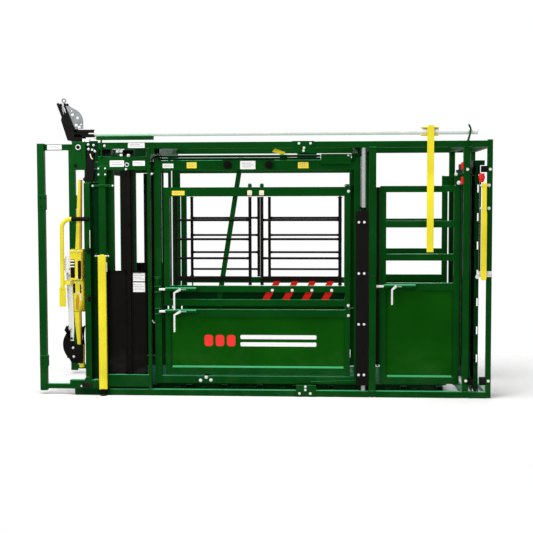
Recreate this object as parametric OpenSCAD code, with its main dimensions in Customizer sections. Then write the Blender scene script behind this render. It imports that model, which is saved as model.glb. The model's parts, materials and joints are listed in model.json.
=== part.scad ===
// Cattle squeeze chute. X runs from the head gate (-X) to the tailgate (+X), +Z is up,
// and the operator's side is -Y. The origin is on the ground, at the middle of the chute.
// Sub-parts are drawn on the near (-Y) side, and far ones are their mirror images.

/* [Frame] */
// Half of the length over the rear posts
half_len = 1839; // [1830:1:1850]
// Half of the width over the frame tubes
half_width = 580; // [578:1:590]
// Height to the top of the rails
rail_top = 2056; // [2050:1:2070]
// Side of the square rails and posts
tube = 50; // [46:1:50]
// Wall of every tube
wall = 4; // [3:0.5:5]

/* [Squeeze] */
// Distance of the gate plane from the middle
gate_y = 500; // [498:1:502]
// Depth of the gate tubes
gate_d = 40; // [36:1:42]
// Depth of the squeeze side's posts and beams
side_d = 50; // [46:1:50]

/* [Control lever] */
// Outer diameter of the long control pipe
pipe_d = 50; // [46:1:52]
// Distance of the pipe from the middle
pipe_y = 550; // [548:1:556]
// Height of the pipe's centre at rest
pipe_z = 2131; // [2128:1:2140]

/* [Fits] */
// Radial clearance of a pin in its bore
run_fit = 0.05; // [0.02:0.01:0.09]
// Gap left at a welded butt between two tubes
weld = 0.5; // [0.3:0.1:1]

/* [Hidden] */
$fn = 48;

frame_green = "#0f5a28";
dark_green = "#0a3f1c";
yellow = "#f0e030";
red = "#f02a20";
rubber_black = "#1e1a14";
white_paint = "#f2f2f0";
zinc = "#a8adb0";

frame_y = half_width - tube / 2;
rail_under = rail_top - tube;

// Stations along X: [centre, width]
guard_post = [-1798, 58];
column_a = [-1414, 50];
column_b = [-1289, 58];
column_c = [-1232, 48];
neck_post = [-908, 24];
side_front = [-846, 56];
side_rear = [772, 48];
mid_post = [894, 56];
vet_front = [981, 48];
vet_rear = [1568, 48];
rear_a = [1636, 50];
rear_b = [1819, 40];
guard_y = 528;

// Squeeze side and its gates
beam_z = [1829, 1910];
sill_z = [94, 156];
gate_x = [-796, 716];
gate_hinge_x = 696;
gate_top = [1621, 1694];
gate_mid = [842, 894];
gate_low = [729, 782];
door_z = [170, 700];
hinge_r = 9;

// Drop bars
bar_z = [1118, 1273, 1428];
bar_low_z = 965;
bar_flat_z = [932, 971];
bar_front_x = [-700, -94];
bar_rear_x = [635, 3];
bar_r = 9.5;
bar_post_r = 13;

// Vet door
vet_hinge_x = 1568;
vet_z = [104, 1700];

// Latches
latch_y = 545;
latch_r = 10;
latch_z = [866, 686];
vet_latch_z = 895;
latch_pin_r = 4;
latch_travel = 45;
gate_latch_x = -834;
gate_reach = 173;
vet_latch_x = 926;
vet_reach = 153;

// Neck door
neck_x = -1092;
neck_y = 540;
neck_z = [172, 1831];

// Head gate and tailgate doors
head_door_x = [-1317, -1289];
head_door_y = [400, 519];
tail_door_x = [1700, 1736];
tail_door_y = [330, 574];

// Control lever
pivot_x = -1475;
pivot_z = 2018;
pivot_r = 15;

// Squeeze lever
lever_x = [-1322, -1256];
lever_z = [52, 1154];
lever_pivot_z = 1140;
lever_y = 606;

// Head holder
mast_x = -1480;
winch = [-1542, 1072];
handle_y = 604;

module both_sides() {
    children();
    mirror([0, 1, 0]) children();
}

// Square tubes along X, Y and Z
module tube_x(x0, x1, y, z0, z1, d) {
    difference() {
        translate([x0, y - d / 2, z0]) cube([x1 - x0, d, z1 - z0]);
        translate([x0 - 1, y - d / 2 + wall, z0 + wall])
            cube([x1 - x0 + 2, d - 2 * wall, z1 - z0 - 2 * wall]);
    }
}

module tube_y(x, w, y0, y1, z0, z1) {
    difference() {
        translate([x - w / 2, y0, z0]) cube([w, y1 - y0, z1 - z0]);
        translate([x - w / 2 + wall, y0 - 1, z0 + wall])
            cube([w - 2 * wall, y1 - y0 + 2, z1 - z0 - 2 * wall]);
    }
}

module tube_z(post, y, z0, z1, d) {
    difference() {
        translate([post[0] - post[1] / 2, y - d / 2, z0]) cube([post[1], d, z1 - z0]);
        translate([post[0] - post[1] / 2 + wall, y - d / 2 + wall, z0 - 1])
            cube([post[1] - 2 * wall, d - 2 * wall, z1 - z0 + 2]);
    }
}

// A block between two corners
module block(a, b) {
    translate(a) cube(b - a);
}

// An outline in the XZ plane, between two distances from the middle on the near side
module plate_xz(y_out, y_in) {
    translate([0, -y_in, 0]) rotate([90, 0, 0]) linear_extrude(y_out - y_in) children();
}

// A round bar between two heights
module rod_z(x, y, z0, z1, r) {
    translate([x, y, z0]) cylinder(r = r, h = z1 - z0);
}

module rod_x(x0, x1, y, z, r) {
    translate([x0, y, z]) rotate([0, 90, 0]) cylinder(r = r, h = x1 - x0);
}

module rod_y(x, y0, y1, z, r) {
    translate([x, y1, z]) rotate([90, 0, 0]) cylinder(r = r, h = y1 - y0);
}

// A hexagon bolt head on a washer, standing out of a face at -y
module bolt(x, y, z, r = 9) {
    rod_y(x, -y - 3, -y, z, r * 1.3);
    translate([x, -y - 3, z]) rotate([90, 0, 0]) cylinder(r = r, h = 7, $fn = 6);
}

// ---- Fixed frame ----

module base_rails() {
    color(frame_green) both_sides() {
        rail_x = [[-1457, mid_post[0] - mid_post[1] / 2], [mid_post[0] + mid_post[1] / 2,
            rear_a[0] - rear_a[1] / 2], [rear_a[0] + rear_a[1] / 2, rear_b[0] - rear_b[1] / 2]];
        for (x = rail_x) tube_x(x[0], x[1], -frame_y, 0, tube, tube);
        block([-1572, -half_width, tube + weld], [-1322, -frame_y + 25, 122]);
    }
}

floor_first = -1180;
floor_pitch = 291;
floor_z = [44, 84];

module floor_tubes() {
    color(dark_green) for (i = [0:9])
        tube_y(floor_first + i * floor_pitch, 52, -526, 526, floor_z[0], floor_z[1]);
}

module floor_plate() {
    color(dark_green) difference() {
        block([-1200, -468, floor_z[1]], [1500, 468, floor_z[1] + 5]);
        for (x = [-1100:300:1300], y = [-300, 0, 300])
            translate([x, y, floor_z[1] - 1]) cylinder(r = 12, h = 8);
    }
}

module top_rails() {
    color(frame_green) both_sides()
        tube_x(-1318, rear_b[0] - rear_b[1] / 2, -frame_y, rail_under, rail_top, tube);
}

module cross_tubes() {
    inner = half_width - tube;
    color(frame_green) {
        for (x = [side_front[0], side_rear[0], mid_post[0], rear_a[0]])
            tube_y(x, tube, -inner, inner, rail_under, rail_top);
        tube_y(rear_b[0], rear_b[1], -inner, inner, rail_under, rail_top);
        for (x = [side_front[0], side_rear[0]])
            tube_y(x, 44, -inner, inner, rail_under - 48, rail_under - weld);
        for (x = [-1430, -1289, -1232.5])
            tube_y(x, tube, -inner, inner, 0, tube - 7);
        for (x = [rear_a[0], rear_b[0]])
            tube_y(x, 40, -inner, inner, 0, 40);
        tube_y(-1263, 110, -half_width, half_width, 1940, rail_under);
        tube_y(-1080, 90, -inner, inner, 1945, 2000);
    }
}

module frame_posts() {
    color(frame_green) both_sides() {
        tube_z(neck_post, -frame_y, tube, rail_under, tube);
        tube_z(mid_post, -frame_y, 6, rail_under, tube);
        tube_z(rear_a, -frame_y, 6, rail_under, tube);
        tube_z(rear_b, -frame_y, 6, rail_top + 4, tube);
    }
}

module foot(r) {
    rotate_extrude() polygon([[0, 0], [r - 6, 0], [r, 3], [r, 6], [0, 6]]);
}

// Rounded feet and the plugs of the open tube ends
module post_caps() {
    color(frame_green) both_sides() {
        for (p = [mid_post, rear_a, rear_b])
            translate([p[0], -frame_y, 0]) foot(min(p[1], tube) / 2 - weld);
        block([rear_b[0] - rear_b[1] / 2, -half_width, rail_top + 4],
            [half_len, -half_width + tube, rail_top + 8]);
        for (z = [30, 2049])
            block([guard_post[0] - 29, -guard_y - 25, z], [guard_post[0] + 29, -guard_y + 25, z + 3]);
    }
    color(rubber_black) translate([-1289, -lever_y, 0]) rotate_extrude()
        polygon([[0, 0], [24, 0], [24, 12], [16, 12], [12, 48], [0, 48]]);
}

// C frames in front of the head gate, one on each side
module guard_frame() {
    color(frame_green) both_sides() {
        tube_z(guard_post, -guard_y, 33, 2049, tube);
        tube_x(-1769 + weld, -1528 - weld, -gate_y, 1999, 2047, 46);
        tube_x(-1769 + weld, -1572 - weld, -guard_y, 46, 84, 46);
        for (z = [[1514, 1636], [228, 320]])
            block([-1769 + weld, -guard_y - 22, z[0]], [-1761, -guard_y + 22, z[1]]);
    }
}

// Door posts on both sides, and the head holder's post with its black brackets on the near side
module head_columns() {
    color(frame_green) {
        both_sides() {
            tube_z(column_b, -half_width + 29, tube, 1940, 58);
            tube_z(column_c, -490, 43, 1940, tube);
        }
        tube_z(column_a, -frame_y, 122, 1732, tube);
    }
    color(rubber_black) {
        block([-1432, -572, 1732 + weld], [-1372, -538, 1836]);
        block([-1412, -572, 1901], [-1345, -538, 1995]);
    }
}

// Fixed wing panels beside the head and tail openings, and the near cover between the head posts
module side_wings() {
    color(dark_green) block([-1388, -536, 124], [-1319, -530, 1738]);
    color(dark_green) both_sides() {
        block([-1278, -521, 110], [-1272, -head_door_y[0], 1930]);
        tube_z([-1266, 24], -head_door_y[0] - 12, 110, 1930, 24);
        block([1668, -528, 110], [1674, -tail_door_y[0], 1850]);
        tube_z([1683, 24], -tail_door_y[0] - 12, 110, 1785, 24);
    }
}

// Channels that the sliding doors run in
module door_tracks() {
    inner = half_width - tube - 1;
    head = half_width - column_b[1] - 1;
    color(dark_green) {
        for (z = [[1806, 1839], [46, 96]]) {
            block([-1338, -head, z[0]], [-1332, head, z[1]]);
            block([-1286, -head, z[0]], [-1280, head, z[1]]);
        }
        block([-1338, -head, 1839 + weld], [-1280, head, 1900]);
        for (z = [[1790, 1862], [44, 96]]) {
            block([1690, -inner, z[0]], [1696, inner, z[1]]);
            block([1740, -inner, z[0]], [1746, inner, z[1]]);
        }
        block([1690, -inner, 1862 + weld], [1746, inner, 1900]);
    }
}

module shoulder_beams() {
    color(frame_green) both_sides() {
        tube_x(-1260, -920, -frame_y, 1835, 1940, tube);
        tube_x(-1260, -920, -frame_y, 70, 168, tube);
    }
}

// Clevis that holds the control lever's pin, on a short arm from the head gate
module lever_plates() {
    color(frame_green) difference() {
        union() {
            block([-1528, -590, 1837], [-1416, -580, 2063]);
            block([-1528, -522, 1837], [-1416, -512, 2063]);
            block([-1528, -581, 1837], [-1416, -521, 1900]);
            block([-1417, -575, 1845], [-1318, -530, 1900]);
        }
        rod_y(pivot_x, -600, -500, pivot_z, pivot_r + run_fit);
    }
}

module joint_plates() {
    color(frame_green) {
        both_sides() {
            block([251, -half_width - 7, 1964], [427, -half_width, rail_top + 4]);
            block([281, -half_width - 7, 3], [443, -half_width, 96]);
            block([889, -half_width - 5, 814], [918, -half_width, 984]);
            block([-1340, -half_width - 26, 1090], [-1334, -half_width, 1160]);
            block([-1248, -half_width - 26, 1090], [-1242, -half_width, 1160]);
            block([1544, -gate_y - 29.5, vet_z[1] + 6], [1645, -gate_y - 22, vet_z[1] + 98]);
            for (z = [vet_z[1] + 6, vet_z[0] - 9])
                difference() {
                    block([1546, -gate_y - 22, z], [1610, -gate_y + 22, z + 6]);
                    rod_z(vet_hinge_x, -gate_y, z - 1, z + 7, hinge_r + run_fit);
                }
        }
    }
}

module rubber_strips() {
    color(rubber_black) both_sides() {
        block([762, -half_width - 4, 96], [865, -half_width + 5, 1501]);
        for (z = [[246, vet_latch_z - 25], [vet_latch_z + 25, 1690]])
            block([930, -530, z[0]], [948, -478, z[1]]);
    }
}

module side_rods() {
    color(zinc) both_sides() rod_z(823, -frame_y, tube, rail_under, 18);
}

module rear_brackets() {
    color(rubber_black) both_sides() {
        block([1661 + weld, -574, 104], [1688, -536, 168]);
        block([1750, -574, 104], [1799 - weld, -536, 168]);
        block([1750, -578, 1806], [1799 - weld, -536, 1856]);
    }
}

module hook_plates() {
    color(white_paint) both_sides()
        plate_xz(half_width + 6, half_width) difference() {
            union() {
                translate([1725, 976]) circle(r = 16);
                translate([1725, 975]) square([112, 46]);
            }
            translate([1772, 958]) circle(r = 20);
        }
}

// Rest and rear guide of the control pipe
module pipe_support() {
    color(frame_green) {
        tube_x(-1327, -863, -582, 2076, 2105, 30);
        rod_z(-1287, -590, 1938, 2076, 7);
        block([-1294, -590, 1930], [-1280, -half_width, 1938]);
        plate_xz(592, 584) polygon([[1618, 2008], [1640, 2008], [1662, 2100], [1670, 2148],
            [1652, 2186], [1640, 2180], [1655, 2146], [1648, 2104]]);
        block([1618, -584, 2008], [1638, -half_width, 2030]);
    }
}

joint_bolts_top = [[307, 2040], [399, 2040], [343, 1982], [431, 1988], [347, 2005]];
joint_bolts_low = [[310, 28], [397, 28], [357, 84], [357, 58]];
strip_bolt_z = [183, 592, 1001, 1411];

module frame_bolts() {
    color(white_paint) both_sides() {
        for (p = joint_bolts_top) if (p[0] < 420) bolt(p[0], half_width + 7, p[1], 8);
        for (p = joint_bolts_low) bolt(p[0], half_width + 7, p[1], 8);
        for (z = strip_bolt_z, x = [785, 828]) bolt(x, half_width + 4, z, 8);
        for (x = [1641, 1819]) bolt(x, half_width, 1828, 9);
        for (x = [1641, 1819]) bolt(x, half_width, 140, 9);
        for (z = [1800, 1848], x = [-1314, -1259]) bolt(x, half_width, z, 8);
        bolt(-1473, half_width, 75, 9);
    }
}

// ---- Head gate ----

// Sliding door: two upright tubes with a sheet between them
module head_door() {
    x = head_door_x;
    y = head_door_y;
    color(dark_green) {
        block([x[0], -y[0] - 40, 100], [x[1], -y[0], 1735]);
        block([x[0] + 10, -y[1] + 30, 100], [x[1] - 10, -y[0] - 40, 1735]);
        block([x[0], -y[1], 100], [x[1], -y[1] + 30, 1735]);
        block([x[0] + 7, -y[1] + 10, 1735], [x[1] - 7, -y[0] - 10, 1825]);
        block([x[0] + 7, -y[1] + 10, 52], [x[1] - 7, -y[0] - 10, 100]);
    }
}

module head_door_near() { head_door(); }
module head_door_far() { mirror([0, 1, 0]) head_door(); }

module control_fork() {
    color(rubber_black) {
        plate_xz(576, 526) {
            polygon([[-1506, 1984], [-1444, 1984], [-1432, 2040], [-1436, 2098], [-1512, 2104],
                [-1522, 2160], [-1560, 2262], [-1612, 2268], [-1584, 2140], [-1570, 2075]]);
            polygon([[-1612, 2264], [-1590, 2262], [-1630, 2376], [-1654, 2372]]);
            polygon([[-1582, 2262], [-1560, 2262], [-1574, 2370], [-1598, 2370]]);
        }
        difference() {
            block([-1512, -580, 2100], [-1348, -520, 2162]);
            block([-1402, -581, 2126], [-1347, -519, 2136]);
        }
        rod_y(pivot_x, -600, -502, pivot_z, pivot_r);
        rod_z(-1588, -551, 2366, 2396, 8);
        rod_y(-1590, -570, -532, 2404, 15);
    }
}

module quadrant_plate() {
    color(zinc) plate_xz(584, 580.5) difference() {
        polygon([[-1576, 2352], [-1534, 2346], [-1488, 2320], [-1444, 2256], [-1434, 2172],
            [-1500, 2166], [-1536, 2262]]);
        for (p = [[-1482, 2255], [-1530, 2313], [-1455, 2200]]) translate(p) circle(r = 10);
    }
}

module control_pipe() {
    color(white_paint) difference() {
        rod_x(-1348, 1723, -pipe_y, pipe_z, pipe_d / 2);
        rod_x(-1340, 1724, -pipe_y, pipe_z, pipe_d / 2 - wall);
    }
}

// Handle that slides along the pipe, held by a flange above and one below it
module slide_handle() {
    r = pipe_d / 2 + 0.5;
    color(yellow) {
        block([1322, -598, 1170], [1376, -586, 2179]);
        for (z = [pipe_z - r - 8, pipe_z + r])
            plate_xz(586, 524) translate([1272, z]) square([144, 8]);
    }
}

module neck_door() {
    color(rubber_black) {
        tube_z([neck_x + 13, 34], -neck_y, neck_z[0], neck_z[1], 34);
        block([-1254, -neck_y - 5, neck_z[0]], [neck_x - 4, -neck_y + 5, 1018]);
        block([neck_x + 30, -neck_y - 5, neck_z[0]], [-936, -neck_y + 5, 1018]);
        block([neck_x - 50, -neck_y - 3, 1018 + weld], [neck_x - 4, -neck_y + 5, neck_z[1]]);
        block([neck_x + 30, -neck_y - 3, 1018 + weld], [neck_x + 56, -neck_y + 5, neck_z[1]]);
    }
}

module neck_door_near() { neck_door(); }
module neck_door_far() { mirror([0, 1, 0]) neck_door(); }

// ---- Squeeze sides ----

module hinge_lug(x, z, length) {
    difference() {
        block([x - 22, -gate_y - 20, z], [x + length, -gate_y + 20, z + 8]);
        rod_z(x, -gate_y, z - 1, z + 9, hinge_r + run_fit);
    }
}

module squeeze_side() {
    x0 = side_front[0] + side_front[1] / 2 + weld;
    x1 = side_rear[0] - side_rear[1] / 2 - weld;
    color(frame_green) {
        tube_z(side_front, -gate_y, sill_z[0], 1934, side_d);
        tube_z(side_rear, -gate_y, sill_z[0], 1934, side_d);
        tube_x(x0, x1, -gate_y, beam_z[0], beam_z[1], side_d);
        tube_x(x0, x1, -gate_y, sill_z[0], sill_z[1], side_d);
        for (z = [gate_top[1] + 14, 709, 158]) hinge_lug(gate_hinge_x, z, x1 - gate_hinge_x);
        block([-875, -gate_y - 31, 600], [-826, -gate_y - 25 - weld, 968]);
        for (x = [[-818 + weld, -800], [720, 748 - weld]])
            block([x[0], -gate_y + 22, 240], [x[1], -gate_y + 28, 1828]);
    }
}

module squeeze_side_near() { squeeze_side(); }
module squeeze_side_far() { mirror([0, 1, 0]) squeeze_side(); }

// Links, rods, plates and braces bolted to a squeeze side
module side_links() {
    front = gate_y + side_d / 2;
    color(frame_green) {
        difference() {
            block([-311, -front - 8, beam_z[0] + 2], [106, -front, beam_z[1] + 2]);
            for (x = [-272, 63]) rod_y(x, -front - 9, -front + 1, 1874, 8 + run_fit);
        }
        block([481, -front - 14, 1875], [722, -front, 1958]);
        block([-532, -front - 7, 108], [-377, -front, 155]);
        plate_xz(front + 7, front) polygon([[395, 99], [813, 108], [813, 132], [395, 116]]);
        block([-182, -gate_y - 16, beam_z[1]], [-148, -gate_y + 16, 1932]);
        for (x = [side_front[0], side_rear[0]])
            block([x - 20, -gate_y - 20, 1934], [x + 20, -gate_y + 20, 1954]);
    }
    color(zinc) {
        rod_x(-816, 473, -gate_y - 8, 1946, 8);
        rod_x(-816, 473, -gate_y + 10, 1940, 6);
    }
}

// The near side also has a flat brace across it, on the inner face
module side_links_near() {
    side_links();
    color(frame_green) plate_xz(gate_y - side_d / 2 - weld, gate_y - side_d / 2 - 30)
        polygon([[-480, 110], [-438, 110], [-152, 1900], [-190, 1900]]);
}

module side_links_far() { mirror([0, 1, 0]) side_links(); }

module squeeze_lever() {
    w = lever_x[1] - lever_x[0];
    color(yellow) {
        plate_xz(lever_y + 14, lever_y - 14) {
            translate([lever_x[0], lever_z[0]]) square([w, lever_z[1] - lever_z[0] - w / 2]);
            translate([lever_x[0] + w / 2, lever_z[1] - w / 2]) circle(r = w / 2);
        }
    }
    color(zinc) rod_x(-1333.5, -1248.5, -lever_y + 8, lever_pivot_z, 7);
}

// A gate hinged at its rear stile, open above, between and below its bars
module upper_gate() {
    x = gate_x;
    inner = [x[0] + 48 + weld, x[1] - 41 - weld];
    color(frame_green) {
        tube_z([x[0] + 24, 48], -gate_y, gate_low[0], gate_top[1], gate_d);
        tube_z([x[1] - 20.5, 41], -gate_y, gate_low[0], gate_top[1], gate_d);
        for (z = [gate_low[0] - 6, gate_top[1] + weld])
            block([x[1] - 41, -gate_y - 20, z], [x[1], -gate_y + 20, z + 5.5]);
        for (z = [gate_low[0] - 16, gate_top[1] + 5])
            rod_z(gate_hinge_x, -gate_y, z, z + 16, hinge_r);
        difference() {
            tube_x(inner[0], inner[1], -gate_y, gate_top[0], gate_top[1], gate_d);
            for (bx = [bar_front_x[0], bar_rear_x[0]])
                rod_z(bx, -gate_y, gate_top[0] - 1, gate_top[0] + 8, 6 + run_fit);
        }
        difference() {
            tube_x(inner[0], inner[1], -gate_y, gate_mid[0], gate_mid[1], gate_d);
            for (bx = [bar_front_x[0], bar_rear_x[0]])
                rod_z(bx, -gate_y, gate_mid[1] - 8, gate_mid[1] + 1, 6 + run_fit);
        }
        tube_x(inner[0], inner[1], -gate_y, gate_low[0], gate_low[1], gate_d);
        latch_sleeve(gate_latch_x, [51, 304], gate_reach, latch_z[0], gate_y + gate_d / 2);
    }
}

// Catches over the free ends of the drop bars
module bar_catches() {
    color(white_paint) for (x = [bar_front_x[1], bar_rear_x[1]]) {
        block([x - 17, -gate_y - 25, 1630], [x + 17, -gate_y - 20 - weld, 1664]);
        rod_z(x, -gate_y, gate_top[1] + weld, gate_top[1] + 16, 16);
    }
}

// Slotted sleeve that a latch bolt slides in, standing off a gate's outer face. span is
// measured from the bolt's tip, and the slot lets the handle's pin travel.
module latch_sleeve(tip, span, reach, z, face) {
    x = [tip + span[0], tip + span[1]];
    pin = tip + reach;
    difference() {
        union() {
            rod_x(x[0], x[1], -latch_y, z, latch_r + 7);
            block([x[0], -latch_y, z - 10], [x[1], -face - weld, z + 10]);
        }
        rod_x(x[0] - 1, x[1] + 1, -latch_y, z, latch_r + run_fit);
        block([pin - latch_pin_r - weld, -latch_y - latch_r - 8, z - latch_pin_r - weld],
            [pin + latch_pin_r + latch_travel + 1, -latch_y, z + latch_pin_r + weld]);
    }
}

module upper_gate_near() {
    upper_gate();
    bar_catches();
}

module upper_gate_far() { mirror([0, 1, 0]) upper_gate(); }

module red_straps() {
    color(red) for (x = [87, 249, 408, 568])
        plate_xz(gate_y - gate_d / 2 - weld, gate_y - gate_d / 2 - 6)
            polygon([[x - 26, 884], [x + 34, 884], [x - 46, 742], [x - 106, 742]]);
}

module red_straps_near() { red_straps(); }
module red_straps_far() { mirror([0, 1, 0]) red_straps(); }

// Bars that swing on their outer post, which turns on pins in the gate's tubes.
// The near side's lowest bar is a flat one.
module drop_bars(posts, flat) {
    lo = min(posts) + bar_post_r + weld;
    hi = max(posts) - bar_post_r - weld;
    z0 = gate_mid[1] + 1;
    z1 = gate_top[0] - 1;
    color(rubber_black) {
        for (x = posts) rod_z(x, -gate_y, z0 + 4, z1 - 4, bar_post_r);
        rod_z(posts[0], -gate_y, z0 - 6, z1 + 6, 6);
        for (z = bar_z) rod_x(lo, hi, -gate_y, z, bar_r);
        if (flat) block([lo, -gate_y - 4, bar_flat_z[0]], [hi, -gate_y + 4, bar_flat_z[1]]);
        else rod_x(lo, hi, -gate_y, bar_low_z, bar_r);
    }
}

module drop_bars_near_front() { drop_bars(bar_front_x, true); }
module drop_bars_near_rear() { drop_bars(bar_rear_x, true); }
module drop_bars_far_front() { mirror([0, 1, 0]) drop_bars(bar_front_x, false); }
module drop_bars_far_rear() { mirror([0, 1, 0]) drop_bars(bar_rear_x, false); }

module lower_door() {
    x = [-789, gate_x[1]];
    color(frame_green) {
        union() {
            tube_z([x[0] + 22, 44], -gate_y, door_z[0], door_z[1], gate_d);
            tube_z([x[1] - 20.5, 41], -gate_y, door_z[0], door_z[1], gate_d);
            tube_x(x[0] + 44, x[1] - 41, -gate_y, 640, door_z[1], gate_d);
            tube_x(x[0] + 44, x[1] - 41, -gate_y, door_z[0], 222, gate_d);
            block([x[0] + 44, -gate_y - 4, 222], [x[1] - 41, -gate_y, 640]);
            for (z = [door_z[0] - 4, door_z[1]])
                block([x[1] - 41, -gate_y - 20, z], [x[1], -gate_y + 20, z + 4]);
            rod_z(gate_hinge_x, -gate_y, door_z[0] - 11, door_z[0], hinge_r);
            rod_z(gate_hinge_x, -gate_y, door_z[1], door_z[1] + 12, hinge_r);
        }
        latch_sleeve(gate_latch_x, [51, 304], gate_reach, latch_z[1], gate_y + gate_d / 2);
    }
}

module lower_door_near() { lower_door(); }
module lower_door_far() { mirror([0, 1, 0]) lower_door(); }

module vet_door() {
    x = [vet_front[0] + vet_front[1] / 2 + weld, vet_rear[0] - vet_rear[1] / 2 - weld];
    rails = [[vet_z[1] - 46, vet_z[1]], [1367, 1420], [1101, 1154]];
    color(frame_green) {
        for (p = [vet_front, vet_rear]) tube_z(p, -gate_y, vet_z[0], vet_z[1], 44);
        block([1544, -gate_y - 22, vet_z[1] + weld], [1592, -gate_y + 22, vet_z[1] + 4]);
        rod_z(vet_hinge_x, -gate_y, vet_z[1] + 4, vet_z[1] + 16, hinge_r);
        rod_z(vet_hinge_x, -gate_y, vet_z[0] - 9, vet_z[0] + 1, hinge_r);
        block([1544, -gate_y - 22, vet_z[0] - 2.5], [1592, -gate_y + 22, vet_z[0] - weld]);
        for (z = rails) tube_x(x[0], x[1], -gate_y, z[0], z[1], 44);
        union() {
            tube_x(x[0], x[1], -gate_y, 863, 920, 44);
            tube_x(x[0], x[1], -gate_y, vet_z[0], 156, 44);
            block([x[0], -gate_y - 4, 156], [x[1], -gate_y, 863]);
        }
        latch_sleeve(vet_latch_x, [60, 313], vet_reach, vet_latch_z, gate_y + 22);
    }
}

module vet_door_near() { vet_door(); }
module vet_door_far() { mirror([0, 1, 0]) vet_door(); }

// Spring bolt with a pin and a hanging handle. lean is how far the handle slants towards the tip.
module latch(tip, z, reach, lean, drop) {
    pin = tip + reach;
    grip = pin - lean;
    color(white_paint) {
        rod_x(tip, tip + 250, -latch_y, z, latch_r);
        rod_y(pin, -latch_y - 22, -latch_y - latch_r + 2, z, latch_pin_r);
        plate_xz(latch_y + 30, latch_y + 21)
            polygon([[pin + 9, z + 7], [pin - 5, z + 9], [grip - 7, z - 22], [grip - 7, z - drop],
                [grip + 7, z - drop], [grip + 7, z - 30], [pin + 9, z - 7]]);
    }
}

module gate_latch(z) { latch(gate_latch_x, z, gate_reach, 46, 165); }

module upper_latch_near() { gate_latch(latch_z[0]); }
module upper_latch_far() { mirror([0, 1, 0]) gate_latch(latch_z[0]); }
module lower_latch_near() { gate_latch(latch_z[1]); }
module lower_latch_far() { mirror([0, 1, 0]) gate_latch(latch_z[1]); }
module vet_latch_near() { latch(vet_latch_x, vet_latch_z, vet_reach, 28, 146); }
module vet_latch_far() { mirror([0, 1, 0]) vet_latch_near(); }

module width_knobs() {
    front = gate_y + side_d / 2 + 8;
    color(rubber_black) for (x = [-272, 63]) {
        rod_y(x, -front - 24, -front - weld, 1874, 33);
        rod_y(x, -front - 1, -front + 7, 1874, 8);
    }
}

module width_knobs_near() { width_knobs(); }
module width_knobs_far() { mirror([0, 1, 0]) width_knobs(); }

// ---- Tailgate ----

module tail_door() {
    x = tail_door_x;
    y = tail_door_y;
    color(dark_green) difference() {
        union() {
            block([x[0] + 15, -y[1] + 8, 100], [x[1] - 15, -y[0] - 36, 1780]);
            block([x[0], -y[0] - 36, 100], [x[1], -y[0], 1780]);
            block([x[0], -y[1], 100], [x[1], -y[1] + 8, 1780]);
            block([x[0] + 8, -y[1] + 10, 1780], [x[1] - 8, -y[0] - 10, 1855]);
            block([x[0] + 8, -y[1] + 10, 54], [x[1] - 8, -y[0] - 10, 100]);
        }
        for (i = [0:6])
            block([x[0] + 4, -y[1] - 1, 290 + i * 226], [x[1] - 5, -y[1] + 9, 352 + i * 226]);
    }
}

module tail_door_near() { tail_door(); }
module tail_door_far() { mirror([0, 1, 0]) tail_door(); }

module tail_handle_near() {
    color(yellow) {
        block([1752, -612, 1490], [1790, -598, 1721]);
        block([1748, -612, 951], [1794, -598, 1490]);
    }
    color(zinc) rod_x(1746.5, 1798.5, -595, 1700, 6);
}

// ---- Head holder ----

module holder_mast() {
    color(yellow) {
        plate_xz(552, 504) {
            polygon([[-1492, 1757], [-1462, 1757], [-1490, 1195], [-1526, 1195]]);
            polygon([[-1553, 1200], [-1456, 1200], [-1452, 682], [-1553, 682]]);
            polygon([[-1536, 683], [-1484, 683], [-1480, 405], [-1512, 405]]);
        }
        rod_z(mast_x, -guard_y, 222, 406, 12);
    }
}

module pull_handle() {
    color(yellow) plate_xz(handle_y + 8, handle_y - 8) {
        polygon([[-1633, 870], [-1602, 870], [-1602, 1380], [-1590, 1410], [-1560, 1422],
            [-1535, 1422], [-1535, 1456], [-1570, 1456], [-1610, 1440], [-1633, 1400]]);
        translate([-1642, 726]) square([52, 144]);
    }
    color(rubber_black) rod_x(-1535, -1404, -handle_y, 1440, 15);
    color(yellow) block([-1610, 8 - handle_y, 900], [-1553 - weld, -540, 940]);
}

module winch_wheel() {
    color(white_paint) plate_xz(583, 567) {
        translate(winch) difference() {
            circle(r = 74);
            for (i = [0:7]) rotate(i * 45) translate([46, 0]) circle(r = 12);
        }
        translate(winch) for (i = [0:11]) rotate(i * 30) translate([74, 0]) circle(r = 9);
    }
    color(zinc) rod_y(winch[0], -590, -552 - weld, winch[1], 12);
}

// Outline of the jaw: a curved back, a foot and a hollow between two horns
module jaw_outline() {
    difference() {
        union() {
            translate([-1545, 412]) scale([0.52, 1]) circle(r = 158);
            translate([-1545, 258]) square([79, 146]);
        }
        translate([-1500, 560]) circle(r = 70);
        translate([-1515, 404]) square([80, 200]);
    }
}

// Two cheeks on either side of the strut, joined along the curved back
module holder_jaw() {
    color(rubber_black) {
        plate_xz(566, 553) jaw_outline();
        plate_xz(503, 490) jaw_outline();
        plate_xz(553, 503) intersection() {
            jaw_outline();
            translate([-1640, 250]) square([105, 330]);
        }
    }
}

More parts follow.
